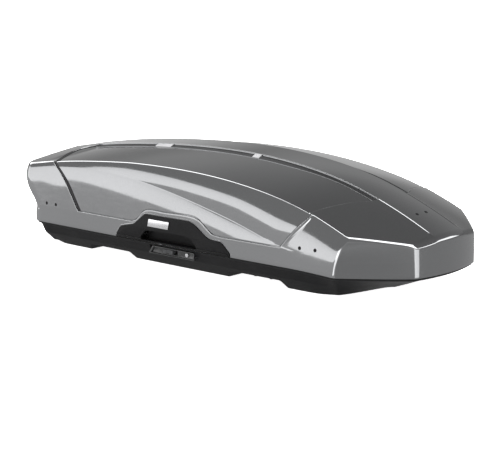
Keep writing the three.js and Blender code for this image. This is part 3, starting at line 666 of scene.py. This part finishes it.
class Finish:
    """A small helper that builds one procedural material."""

    def __init__(self, name):
        self.mat = bpy.data.materials.new(name)
        self.mat.use_nodes = True
        self.tree = self.mat.node_tree
        self.shader = self.tree.nodes["Principled BSDF"]
        self.coords = self.tree.nodes.new("ShaderNodeTexCoord").outputs["Object"]

    def node(self, kind, inputs=None, **settings):
        made = self.tree.nodes.new(kind)
        for key, value in settings.items():
            setattr(made, key, value)
        for key, value in (inputs or {}).items():
            if isinstance(value, bpy.types.NodeSocket):
                self.tree.links.new(value, made.inputs[key])
            else:
                made.inputs[key].default_value = value
        return made

    def set(self, **values):
        for key, value in values.items():
            socket = self.shader.inputs[key.replace("_", " ")]
            if isinstance(value, bpy.types.NodeSocket):
                self.tree.links.new(value, socket)
            else:
                socket.default_value = value

    def stretched(self, scale):
        return self.node("ShaderNodeMapping", {"Vector": self.coords, "Scale": scale}).outputs["Vector"]

    def noise(self, scale, detail=4, rough=0.55, vector=None):
        made = self.node(
            "ShaderNodeTexNoise",
            {"Vector": vector or self.coords, "Scale": scale, "Detail": detail, "Roughness": rough},
        )
        return made.outputs["Fac"]

    def cells(self, scale, vector=None, feature="F1", output="Distance"):
        inputs = {"Vector": vector or self.coords, "Scale": scale}
        made = self.node("ShaderNodeTexVoronoi", inputs, feature=feature)
        return made.outputs[output]

    def span(self, value, low, high, start=0.0, end=1.0):
        made = self.node(
            "ShaderNodeMapRange",
            {"Value": value, "From Min": start, "From Max": end, "To Min": low, "To Max": high},
        )
        return made.outputs["Result"]

    def ramp(self, value, stops):
        made = self.node("ShaderNodeValToRGB", {"Fac": value})
        ramp = made.color_ramp
        while len(ramp.elements) < len(stops):
            ramp.elements.new(0.5)
        for element, (at, color) in zip(ramp.elements, stops):
            element.position = at
            element.color = (*color, 1) if isinstance(color, tuple) else (color, color, color, 1)
        return made.outputs["Color"]

    def add(self, a, b, how="ADD"):
        made = self.node("ShaderNodeMath", operation=how)
        for k, value in enumerate((a, b)):
            if isinstance(value, bpy.types.NodeSocket):
                self.tree.links.new(value, made.inputs[k])
            else:
                made.inputs[k].default_value = value
        return made.outputs[0]

    def bump(self, height, strength, distance):
        made = self.node("ShaderNodeBump", {"Height": height, "Strength": strength, "Distance": distance})
        self.set(Normal=made.outputs["Normal"])


def paint():
    """Silver metallic lacquer: fine flake, a slight orange peel, dust and faint wipe marks."""
    f = Finish("lid_paint")
    flake = f.cells(2600, output="Color")
    flake = f.node("ShaderNodeSeparateColor", {"Color": flake}).outputs["Red"]
    cloud = f.noise(2.2, 3)
    tone = f.add(f.span(flake, -0.035, 0.035), f.span(cloud, -0.012, 0.012), "ADD")
    level = f.add(tone, PAINT_LEVEL)
    red, blue = f.add(level, 0.99, "MULTIPLY"), f.add(level, 1.02, "MULTIPLY")
    color = f.node("ShaderNodeCombineColor", {"Red": red, "Green": level, "Blue": blue})
    wipes = f.noise(14, 5, 0.6, f.stretched((1, 7, 5)))
    dust = f.noise(55, 6, 0.7)
    smears = f.span(wipes, PAINT_ROUGH - 0.02, PAINT_ROUGH + 0.03, 0.35, 0.7)
    rough = f.add(smears, f.span(dust, 0, 0.05, 0.5, 0.8))
    f.set(Base_Color=color.outputs["Color"], Roughness=rough, Metallic=1.0)
    f.set(Coat_Weight=0.12, Coat_Roughness=0.05)
    peel = f.noise(420, 2)
    f.bump(peel, 0.05, 0.0002)
    return f.mat


def grained(name, dark, light, rough, grain=900, strength=0.25, wear=0.0, gloss=0.06):
    """Moulded plastic with a fine leather-like grain, uneven sheen and pale scuffs on its edges."""
    f = Finish(name)
    cells = f.cells(grain, feature="SMOOTH_F1")
    broad = f.noise(6, 4)
    scuff = f.noise(38, 8, 0.72, f.stretched((1, 3, 3)))
    tone = f.ramp(broad, [(0.3, dark), (0.7, light)])
    marks = f.span(scuff, 0, 0.3, 0.62, 0.8)
    pale = tuple(min(1, 2.4 * c + 0.01) for c in light)
    mixed = f.node("ShaderNodeMix", data_type="RGBA")
    mix_color(f, mixed, marks, tone, pale)
    out = mixed.outputs[2]
    if wear:
        edge = f.node("ShaderNodeNewGeometry").outputs["Pointiness"]
        patchy = f.span(f.noise(160, 4), 0.2, 1, 0.35, 0.65)
        worn = f.add(f.span(edge, 0, wear, 0.53, 0.62), patchy, "MULTIPLY")
        second = f.node("ShaderNodeMix", data_type="RGBA")
        mix_color(f, second, worn, out, tuple(min(1, 4 * c + 0.03) for c in light))
        out = second.outputs[2]
    uneven = f.add(f.span(broad, rough - 0.05, rough + 0.07), f.span(cells, -0.04, 0.04))
    f.set(Base_Color=out, Roughness=uneven, Specular_IOR_Level=gloss)
    f.bump(f.add(cells, f.span(f.noise(grain * 0.35, 3), 0, 0.6)), strength, 0.0003)
    return f.mat


def mix_color(f, node, factor, a, b):
    """Wires a colour mix node by socket number, as its sockets share names."""
    sockets = [s for s in node.inputs if s.type == "RGBA"]
    f.tree.links.new(factor, node.inputs[0])
    for socket, value in zip(sockets, (a, b)):
        if isinstance(value, bpy.types.NodeSocket):
            f.tree.links.new(value, socket)
        else:
            socket.default_value = (*value, 1)


def metal(name, level, rough, along=(1, 1, 1), scale=300, blotch=0.04):
    """Bare or plated metal: drawn streaks along one way, blotches and small scratches."""
    f = Finish(name)
    streak = f.noise(scale, 3, 0.6, f.stretched(along))
    patch = f.noise(24, 5, 0.6)
    tone = f.add(f.add(f.span(streak, -0.05, 0.05), f.span(patch, -blotch, blotch)), level)
    blue = f.add(tone, 1.02, "MULTIPLY")
    color = f.node("ShaderNodeCombineColor", {"Red": tone, "Green": tone, "Blue": blue})
    f.set(Base_Color=color.outputs["Color"], Metallic=1.0)
    f.set(Roughness=f.add(f.span(streak, rough - 0.06, rough + 0.08), f.span(patch, -0.03, 0.05)))
    f.bump(streak, 0.12, 0.0002)
    return f.mat


def webbing():
    """Woven polyester tape: ribs across, threads along."""
    f = Finish("webbing_weave")

    def wave(direction, scale):
        inputs = {"Vector": f.coords, "Scale": scale, "Distortion": 0.4, "Detail": 1.0}
        return f.node("ShaderNodeTexWave", inputs, bands_direction=direction).outputs["Fac"]

    ribs, threads = wave("Y", 220), wave("X", 260)
    weave = f.add(ribs, threads, "MULTIPLY")
    f.set(Base_Color=f.ramp(f.add(weave, f.span(f.noise(90), -0.2, 0.2)), [(0.1, 0.012), (0.9, 0.045)]))
    f.set(Roughness=f.span(weave, 0.75, 0.95), Sheen_Weight=0.25)
    f.bump(weave, 0.8, 0.0006)
    return f.mat


MATS = {
    "lid_paint": paint(),
    "black_plastic": grained("black_grain", (0.004, 0.004, 0.0043), (0.007, 0.007, 0.0073), 0.42, wear=0.3),
    "handle_plastic": grained(
        "handle_satin", (0.004, 0.004, 0.0043), (0.0065, 0.0065, 0.0068), 0.34,
        grain=1500, strength=0.12, wear=0.25,
    ),
    # The trims' dark colour is painted shade: it darkens the pillar strip's recess and the top groove where
    # shade falls.
    "dark_trim": grained(
        "trim_painted_groove_shade", (0.012, 0.012, 0.0125), (0.018, 0.018, 0.0185), 0.36, grain=1400, strength=0.15,
    ),
    "grey_plastic": grained(
        "grey_satin", (0.03, 0.0305, 0.032), (0.045, 0.045, 0.0465), 0.36, grain=1300, strength=0.15,
    ),
    "emblem_metal": metal("emblem_plate", 0.55, 0.25, (1, 1, 8), 260, 0.02),
    "aluminium": metal("drawn_aluminium", 0.62, 0.33, (0.04, 1, 1), 700),
    "steel": metal("zinc_steel", 0.5, 0.3, (1, 1, 1), 120, 0.08),
    "rubber": grained(
        "rubber_matt", (0.008, 0.008, 0.008), (0.014, 0.014, 0.014), 0.75, grain=600, strength=0.3,
    ),
    "webbing": webbing(),
    "bezel_gloss": grained("bezel_gloss", (0.01, 0.01, 0.0105), (0.015, 0.015, 0.0155), 0.2, gloss=0.4),
    "cap_plastic": grained(
        "cap_satin", (0.24, 0.24, 0.245), (0.3, 0.3, 0.305), 0.4, grain=1300, strength=0.12,
    ),
    "lid_liner": grained(
        "liner_grain", (0.03, 0.03, 0.032), (0.045, 0.045, 0.047), 0.55, grain=700, strength=0.4,
    ),
}


def dress(obj, slot):
    obj.data.materials.clear()
    obj.data.materials.append(MATS[slot])
    return obj


# ---- Lid -------------------------------------------------------------------
def handle_cutter(side):
    grown = [(x + (-0.5 if x < -60 else 0.5), 80 if z < 110 else z + 0.5) for x, z in HANDLE_OUTLINE]
    ys = sorted((side * 470, side * 415))
    return prism("handle_cut", rounded(grown, 12), *ys)


def make_lid():
    maker = MeshMaker()
    walls, top = lid_skin(LEVELS, paint_depth)
    inner_walls, inner_top = lid_skin(INNER_LEVELS, liner_depth)
    maker.grid(walls)
    maker.grid(top, flip=True)
    maker.grid(inner_walls, flip=True, slot=1)
    maker.grid(inner_top, slot=1)
    maker.grid(np.stack([inner_walls[0], walls[0]]), slot=1)
    lid = maker.build("lid")
    lid.data.materials.append(MATS["lid_paint"])
    lid.data.materials.append(MATS["lid_liner"])
    boolean(lid, [handle_cutter(-1), handle_cutter(1)])
    soften(lid, 50)
    return settle(lid, "lid", "lid_paint", "lid_shell")


make_lid()


# ---- Trim in the lid's recesses, whose dark colour is painted groove shade ---
STRIP_COLS = [i for i, (k, d) in enumerate(COLUMNS) if k == "strip" and 1.1 < d < 21]
GROOVE_COLS = [i for i, (k, d) in enumerate(COLUMNS) if (k == "strip" and d > 21) or k == "panel"]
GROOVE_COLS += [i for i, (k, d) in enumerate(COLUMNS) if k == "seam" and d < -1]
# The strip trim starts on the level 3.1 mm above the border line.
TRIM_START_LEVEL = 14
GROOVE_ROWS = [len(SHARES) + i for i, y in enumerate(FINE_YS) if 95.5 < y < 118.5]


def tube(name, rows):
    """A closed solid through rows of points that each go once round."""
    maker = MeshMaker()
    loops = np.stack(rows)
    maker.grid(np.concatenate([loops, loops[:, :1]], 1))
    obj = maker.build(name, mirror=False)
    bm = bmesh.new()
    bm.from_mesh(obj.data)
    bmesh.ops.holes_fill(bm, edges=bm.edges)
    bmesh.ops.recalc_face_normals(bm, faces=bm.faces)
    bm.to_mesh(obj.data)
    bm.free()
    return obj


def make_trims():
    face_wall, face_top = lid_skin(LEVELS, ribbon_depth)
    back_wall, back_top = lid_skin(LEVELS, ribbon_back)
    _, floor_top = lid_skin(LEVELS, groove_back)
    last_row = GROOVE_ROWS[-1]
    rows = []
    for level in range(TRIM_START_LEVEL, face_wall.shape[0]):
        rows.append(np.concatenate([
            [face_wall[level, ROWS + i] for i in STRIP_COLS],
            [back_wall[level, ROWS + i] for i in STRIP_COLS[::-1]],
        ]))
    for r in range(1, last_row + 1):
        rows.append(np.concatenate([
            [face_top[1 + i, r] for i in STRIP_COLS],
            [back_top[1 + i, r] for i in STRIP_COLS[::-1]],
        ]))
    pillar = tube("pillar_strip_right", rows)
    rows = []
    for i in GROOVE_COLS:
        rows.append(np.concatenate([
            [face_top[1 + i, r] for r in GROOVE_ROWS],
            [floor_top[1 + i, r] for r in GROOVE_ROWS[::-1]],
        ]))
    groove = tube("groove_strip_right", rows)
    made = ((pillar, "pillar_strip", "pillar_trim"), (groove, "groove_strip", "groove_trim"))
    for piece, stem, node in made:
        # The dark colour given here is painted shade for the strip's recess and the groove.
        dress(soften(piece, 40), "dark_trim")
        other = flipped(piece, stem + "_left")
        for obj, side in ((piece, "right"), (other, "left")):
            settle(soften(obj, 40), "lid", "dark_trim", f"{node}_{side}")


make_trims()


# ---- Tray --------------------------------------------------------------------
# Height (below zero: under the lid's lip) and inset at the rear, side, front corner and nose.
TRAY_RINGS = [
    (-3.6, 9, 7, 8, 8), (-8.6, 10, 8, 9, 9), (-11.6, 56, 12, 14, 14),
    (50, 86, 28, 44, 92), (0, 128, 68, 84, 184),
]
BAR_RECESSES = [(-640, -322, 30), (180, 520, 34)]
CLAMP_XS = (-447, 353)
TRAY_T = 4
# The plan is smoothed along its length, in even steps, mirrored past both ends.
PLAN_STEPS = 900
PLAN_PAD = 260
PLAN_REACH = 100


def tray_plan():
    """The lid's lip with inward directions that turn slowly round the corners."""
    ring = Ring(LEVELS[:1])
    x, y, z = ring.x[0], ring.y[0], ring.z[0]
    nx, ny = ring.nx[0].copy(), ring.ny[0].copy()
    run = np.concatenate([[0], np.cumsum(np.hypot(np.diff(x), np.diff(y)))])
    even = np.linspace(0, run[-1], PLAN_STEPS)
    reach = PLAN_REACH / (even[1] - even[0])
    kernel = np.exp(-0.5 * (np.arange(-PLAN_PAD, PLAN_PAD + 1) / reach) ** 2)
    kernel /= kernel.sum()

    def slow(values, sign):
        flat = np.interp(even, run, values)
        padded = np.concatenate([sign * flat[PLAN_PAD:0:-1], flat, sign * flat[-2 : -PLAN_PAD - 2 : -1]])
        return np.interp(run, even, np.convolve(padded, kernel, "valid"))

    nx, ny = slow(nx, 1), slow(ny, -1)
    size = np.hypot(nx, ny)
    turn = np.array([0 if k == "back" else d if k == "arc" else 95 for k, d in ring.zones])
    rear = smooth(1 - (turn + 10) / 105.0)
    return x, y, z, nx / size, ny / size, rear


def tray_ring(plan, level, t):
    x, y, z, nx, ny, rear = plan
    depth, at_rear, at_side, at_corner, at_nose = level
    side = lerp(lerp(at_side, at_corner, smooth((x - 600) / 177)), at_nose, smooth((x - 777) / 227))
    inset = lerp(side, at_rear, rear) + t
    px, py = x + nx * inset, -y + ny * inset
    foot = np.maximum(10 * smooth((-790 - px) / 60), 14 * smooth((px - 640) / 200))
    pz = z + depth if depth < 0 else np.full_like(px, depth) if depth else foot
    py[[0, -1]] = 0
    return np.stack([px, np.minimum(py, 0), pz], -1)


def tray_solid(plan, t):
    rings = [tray_ring(plan, level, t) for level in TRAY_RINGS]
    if t:
        rings[-1][:, 2] += t
        rings.insert(0, rings[0] * [1, 1, 0] + [0, 0, 130])
    rows = [rings[0]]
    for k in range(1, len(rings) - 1):
        here, up, down = rings[k], rings[k - 1], rings[k + 1]
        to_up, to_down = np.linalg.norm(up - here, axis=1), np.linalg.norm(down - here, axis=1)
        near = min(4.0, 0.4 * to_up.min(), 0.4 * to_down.min())
        a = here + (up - here) / to_up[:, None] * near
        b = here + (down - here) / to_down[:, None] * near
        rows += [bezier(a, here, b, v) for v in (0, 0.33, 0.67, 1)]
    here, up = rings[-1], rings[-2]
    middle = here * [1, 0, 1]
    a = here + (up - here) / np.linalg.norm(up - here, axis=1)[:, None] * 5
    b = here + (middle - here) * 0.02
    rows += [bezier(a, here, b, v) for v in (0, 0.33, 0.67, 1)] + [middle]
    maker = MeshMaker()
    maker.grid(np.stack([rows[0] * [1, 0, 1]] + rows), flip=True)
    return maker.build("tray")


def bar_cutter(x0, x1, top, t):
    outline = rounded([(x0 - t, -20), (x0 + 34 - t, top + t), (x1 - 34 + t, top + t), (x1 + t, -20)], 9)
    return prism("bar_cut", outline, -470, 470)


def make_tray():
    plan = tray_plan()
    tray, inside = tray_solid(plan, 0), tray_solid(plan, TRAY_T)
    boolean(tray, [bar_cutter(*r, 0) for r in BAR_RECESSES])
    boolean(inside, [bar_cutter(*r, TRAY_T) for r in BAR_RECESSES])
    cutters = [inside]
    for side in (-1, 1):
        ys = sorted((side * 470, side * 392))
        cutters.append(prism("window", rounded([(-202.4, 55), (-202.4, 89), (58.4, 89), (58.4, 55)], 2), *ys))
        for x in CLAMP_XS:
            ys = sorted((side * 316, side * 344))
            cutters.append(block("slot", x - 96, x + 96, *ys, 20, 50))
    boolean(tray, cutters)
    dress(soften(tray, 38), "black_plastic")
    lengths = [n for n in frame["nodes"] if n.startswith("tray_")]
    settle(tray, "base", "black_plastic", *lengths)


make_tray()


# ---- Pieces refined from their CAD solids --------------------------------------
# Width of the rounded edge in millimetres, and its segments.
BEVELS = {
    "lock_bezel": (1.6, 3), "release_slider": (1.5, 3), "lock_cylinder": (0.6, 2), "lock_bar": (1.2, 2),
    "hook_rail": (1.5, 2), "lifter_arm": (1.8, 3), "clamp_rail": (1.2, 2), "clamp_housing": (2.6, 3),
    "clamp_knob": (2.4, 3), "clamp_claw": (2.0, 3), "lid_brace": (2.5, 2), "strap_buckle": (2.4, 3),
    "groove_cap": (0.7, 2), "emblem": (0.6, 2), "load_strap": (0.5, 2), "lifter_spring": (0, 0),
    "nose_seal": (1.2, 2),
}
OWN_FINISH = {"groove_cap": "cap_plastic", "lock_bezel": "bezel_gloss"}


def refine(node_name, width, segments):
    """A copy of a CAD solid with merged faces, rounded edges and soft shading."""
    source = frame["nodes"][node_name]
    mesh = source.data.copy()
    bm = bmesh.new()
    bm.from_mesh(mesh)
    bmesh.ops.remove_doubles(bm, verts=bm.verts, dist=1e-5)
    bmesh.ops.dissolve_limit(bm, angle_limit=math.radians(0.6), verts=bm.verts, edges=bm.edges)
    bm.to_mesh(mesh)
    bm.free()
    obj = bpy.data.objects.new(node_name + "_piece", mesh)
    bpy.context.scene.collection.objects.link(obj)
    if width:
        bevel(obj, width, segments, 28)
    finish = next((f for n, f in OWN_FINISH.items() if node_name.startswith(n)), SLOT_OF[node_name])
    dress(soften(obj, 36), finish)
    return settle(obj, body_of(source)[0], SLOT_OF[node_name], node_name)


for node_name in sorted(frame["nodes"]):
    stem = next((b for b in BEVELS if node_name.startswith(b)), None)
    if stem:
        refine(node_name, *BEVELS[stem])


# ---- Grip handles --------------------------------------------------------------
RIM_RADIUS = 2.6
POCKET_BODY = [(-246, 103.5), (-246, 126), (-213, 157), (12, 162), (52, 153), (82, 124), (90, 103.5)]
POCKET_MOUTH = [(-240, 90), (-240, 123), (-210, 151), (11, 156), (48, 148), (76, 121), (84, 90)]
FLANGE = [(-389, 103.2), (-389, 109), (-384, 113), (246, 113), (262, 109), (262, 103.2)]
# The rim stops at the lip, so the panel's outline below this height has none.
RIM_LOWEST = 104


def make_rim():
    """The rolled edge of the lid round the grip panel."""
    outline = np.array(rounded(HANDLE_OUTLINE, 12)[3:-3])
    along = np.gradient(outline, axis=0)
    along /= np.linalg.norm(along, axis=1)[:, None]
    out = np.stack([-along[:, 1], along[:, 0]], -1)
    rows = []
    for (x, z), (ox, oz) in zip(outline, out):
        if z < RIM_LOWEST:
            continue
        angles = np.linspace(0, 2 * np.pi, 14, endpoint=False)
        reach = RIM_RADIUS + 0.6 + RIM_RADIUS * np.cos(angles)
        depth = 1.6 - RIM_RADIUS * np.sin(angles)
        px, pz = x + ox * reach, z + oz * reach
        rows.append(np.stack([px, -side_y(px, pz) + depth, pz], -1))
    rim = tube("grip_rim_right", rows)
    dress(soften(rim, 60), "lid_paint")
    settle(rim, "lid", "lid_paint")
    settle(soften(flipped(rim, "grip_rim_left"), 60), "lid", "lid_paint")


def make_handle():
    """The grip panel: a crowned plate, a flange along its foot and a pocket for the fingers."""
    plate = prism("grip_right", rounded(HANDLE_OUTLINE, 13), -HANDLE_Y + 1.2, -HANDLE_Y + 9)
    bevel(plate, 2.2, 3)
    pocket = prism("pocket", rounded(POCKET_BODY, 10), -HANDLE_Y + 7, -HANDLE_Y + 40)
    flange = prism("flange", rounded(FLANGE, 3), -HANDLE_Y - 1.8, -HANDLE_Y + 5)
    bevel(flange, 1.4, 3)
    boolean(plate, [pocket, flange], "UNION")
    mouth = prism("mouth", rounded([(x, max(z, 109)) for x, z in POCKET_MOUTH], 9), -460, -HANDLE_Y + 36)
    boolean(plate, [mouth])
    dress(soften(plate, 40), "handle_plastic")
    other = flipped(plate, "grip_left")
    for obj, side in ((plate, "right"), (other, "left")):
        settle(soften(obj, 40), "lid", "handle_plastic", f"grip_handle_{side}")


make_handle()
make_rim()


# ---- Blanking plugs ----------------------------------------------------------
PLUG_RADIUS = 7.5
SIDE_PLUGS = [(-840, 190), (-779, 190), (613, 188), (687, 189)]
NOSE_PLUGS = [(882, -30), (882, 30)]


def plug(name, point, normal, thick=1.6):
    """A domed cap, seated a little into the skin."""
    rows = []
    for radius, height in ((PLUG_RADIUS, -thick), (PLUG_RADIUS, 0.2), (6.7, 0.9), (3.4, 1.4)):
        turn = np.linspace(0, 2 * np.pi, 24, endpoint=False)
        rows.append(np.stack([radius * np.cos(turn), radius * np.sin(turn), np.full_like(turn, height)], -1))
    obj = tube(name, rows)
    pose = Vector(normal).to_track_quat("Z", "Y").to_matrix().to_4x4()
    obj.data.transform(Matrix.Translation(Vector(point) * MM) @ pose)
    dress(soften(obj, 50), "black_plastic")
    return settle(obj, "lid", "black_plastic")


def surface(lid, origin, way):
    """Where a straight probe meets the lid, in millimetres, with the skin's direction there."""
    hit, point, normal, _ = lid.ray_cast(Vector(origin) * MM, Vector(way))
    assert hit, origin
    return point / MM, normal


def make_plugs():
    lid = bpy.data.objects["lid"]
    for k, (x, z) in enumerate(SIDE_PLUGS):
        for side in (-1, 1):
            point, normal = surface(lid, (x, side * 600, z), (0, -side, 0))
            plug(f"plug_{k}_{'right' if side < 0 else 'left'}", point, normal)
    for k, (x, y) in enumerate(NOSE_PLUGS):
        point, normal = surface(lid, (x, y, 700), (0, 0, -1))
        plug(f"plug_nose_{k}", point, normal)


make_plugs()


# ---- Camera, light and floor ------------------------------------------------
AZIMUTH, ELEVATION = math.radians(41.302), math.radians(11.221)
CAMERA_PLACE = (4.1925, -4.7867, 1.3975)
LENS = 108.13
camera_data = bpy.data.cameras.new("camera")
camera_data.lens, camera_data.sensor_width = LENS, 36
camera_data.clip_end = 100
camera = bpy.data.objects.new("camera", camera_data)
bpy.context.scene.collection.objects.link(camera)
camera.location = CAMERA_PLACE
back = Vector((
    math.sin(AZIMUTH) * math.cos(ELEVATION),
    -math.cos(AZIMUTH) * math.cos(ELEVATION),
    math.sin(ELEVATION),
))
camera.rotation_euler = back.to_track_quat("Z", "Y").to_euler()
bpy.context.scene.camera = camera
bpy.context.scene.view_settings.view_transform = "Standard"


# Height of the direction (-1 down, 1 up) and brightness as a share of the strongest light.
FAR_SKY = [
    (-0.9, 0.2), (-0.3, 0.2), (-0.1, 0.2), (0.05, 0.18), (0.13, 0.13),
    (0.2, 0.095), (0.3, 0.14), (0.4, 0.15), (0.8, 0.1),
]
NEAR_SKY = [(-0.9, 0.28), (-0.3, 0.3), (-0.13, 0.33), (-0.1, 0.34), (0.1, 0.3), (0.23, 0.18), (0.8, 0.18)]
# Brightness, then (from, to, softness) along x, y and z. A negative brightness darkens that part of the sky.
SKY_LIGHTS = [
    (0.56, (-1.2, 0.1, 0.15), (-1.2, -0.3, 0.2), (-0.087, 0.21, 0.012)),
    (1.9, (-1, 0.9, 0.1), (-0.16, 0.2, 0.1), (0.35, 1.1, 0.1)),
    (1.3, (0.42, 0.85, 0.05), (0.3, 0.95, 0.05), (0.24, 0.42, 0.05)),
    (0.65, (0.9, 1.1, 0.03), (-0.3, 0.35, 0.05), (-0.35, 0.05, 0.05)),
    (0.9, (-0.1, 0.3, 0.05), (-1.1, -0.93, 0.02), (-0.6, 0.15, 0.05)),
    (-0.11, (0.45, 0.85, 0.1), (-0.8, -0.4, 0.1), (-0.6, 0.05, 0.1)),
]


def make_world():
    """A soft studio set by direction: a far sky, a near sky and the lights added to them."""
    world = bpy.data.worlds.new("studio")
    bpy.context.scene.world = world
    world.use_nodes = True
    tree = world.node_tree
    new, link = tree.nodes.new, tree.links.new
    way = new("ShaderNodeSeparateXYZ")
    link(new("ShaderNodeTexCoord").outputs["Generated"], way.inputs[0])

    def math_node(how, a, b):
        node = new("ShaderNodeMath")
        node.operation = how
        for socket, value in zip(node.inputs, (a, b)):
            if isinstance(value, bpy.types.NodeSocket):
                link(value, socket)
            else:
                socket.default_value = value
        return node.outputs[0]

    def span(value, low, high, start, end):
        node = new("ShaderNodeMapRange")
        node.interpolation_type = "SMOOTHSTEP"
        link(value, node.inputs["Value"])
        for name, number in zip(("From Min", "From Max", "To Min", "To Max"), (start, end, low, high)):
            node.inputs[name].default_value = number
        return node.outputs[0]

    def window(value, start, end, soft):
        rise = span(value, 0, 1, start - soft, start)
        return math_node("MULTIPLY", rise, span(value, 1, 0, end, end + soft))

    def ramp(stops):
        fit = new("ShaderNodeMapRange")
        fit.inputs["From Min"].default_value = -1
        link(way.outputs["Z"], fit.inputs["Value"])
        node = new("ShaderNodeValToRGB")
        link(fit.outputs[0], node.inputs[0])
        elements = node.color_ramp.elements
        while len(elements) < len(stops):
            elements.new(0.5)
        for element, (height, level) in zip(elements, stops):
            element.position = (height + 1) / 2
            element.color = (level, level, level, 1)
        return node.outputs[0]

    far = ramp(FAR_SKY)
    near = ramp(NEAR_SKY)
    share = span(way.outputs["Y"], 0, 1, -0.3, 0.3)
    sky = math_node("ADD", math_node("MULTIPLY", far, share),
                    math_node("MULTIPLY", near, math_node("SUBTRACT", 1.0, share)))
    for level, *limits in SKY_LIGHTS:
        shape = window(way.outputs["X"], *limits[0])
        for axis, limit in zip("YZ", limits[1:]):
            shape = math_node("MULTIPLY", shape, window(way.outputs[axis], *limit))
        sky = math_node("ADD", sky, math_node("MULTIPLY", shape, level))
    background = tree.nodes["Background"]
    link(sky, background.inputs["Color"])
    background.inputs["Strength"].default_value = 3.0


make_world()


sun_data = bpy.data.lights.new("overhead", "SUN")
sun_data.energy, sun_data.angle = 2.2, math.radians(150)
overhead = bpy.data.objects.new("overhead", sun_data)
bpy.context.scene.collection.objects.link(overhead)
overhead.visible_glossy = False


def make_floor():
    bm = bmesh.new()
    bmesh.ops.create_grid(bm, x_segments=8, y_segments=8, size=60)
    mesh = bpy.data.meshes.new("floor")
    bm.to_mesh(mesh)
    bm.free()
    floor = bpy.data.objects.new("floor", mesh)
    bpy.context.scene.collection.objects.link(floor)
    f = Finish("pale_floor")
    f.set(Base_Color=f.ramp(f.noise(3, 3), [(0.3, 0.9), (0.7, 0.92)]), Roughness=0.9, Specular_IOR_Level=0.1)
    f.set(Emission_Color=(1, 1, 1, 1), Emission_Strength=1.0)
    mesh.materials.append(f.mat)
    floor.visible_glossy = False


make_floor()

for node_name, node in frame["nodes"].items():
    if not node.hide_render:
        dress(node, SLOT_OF[node_name])
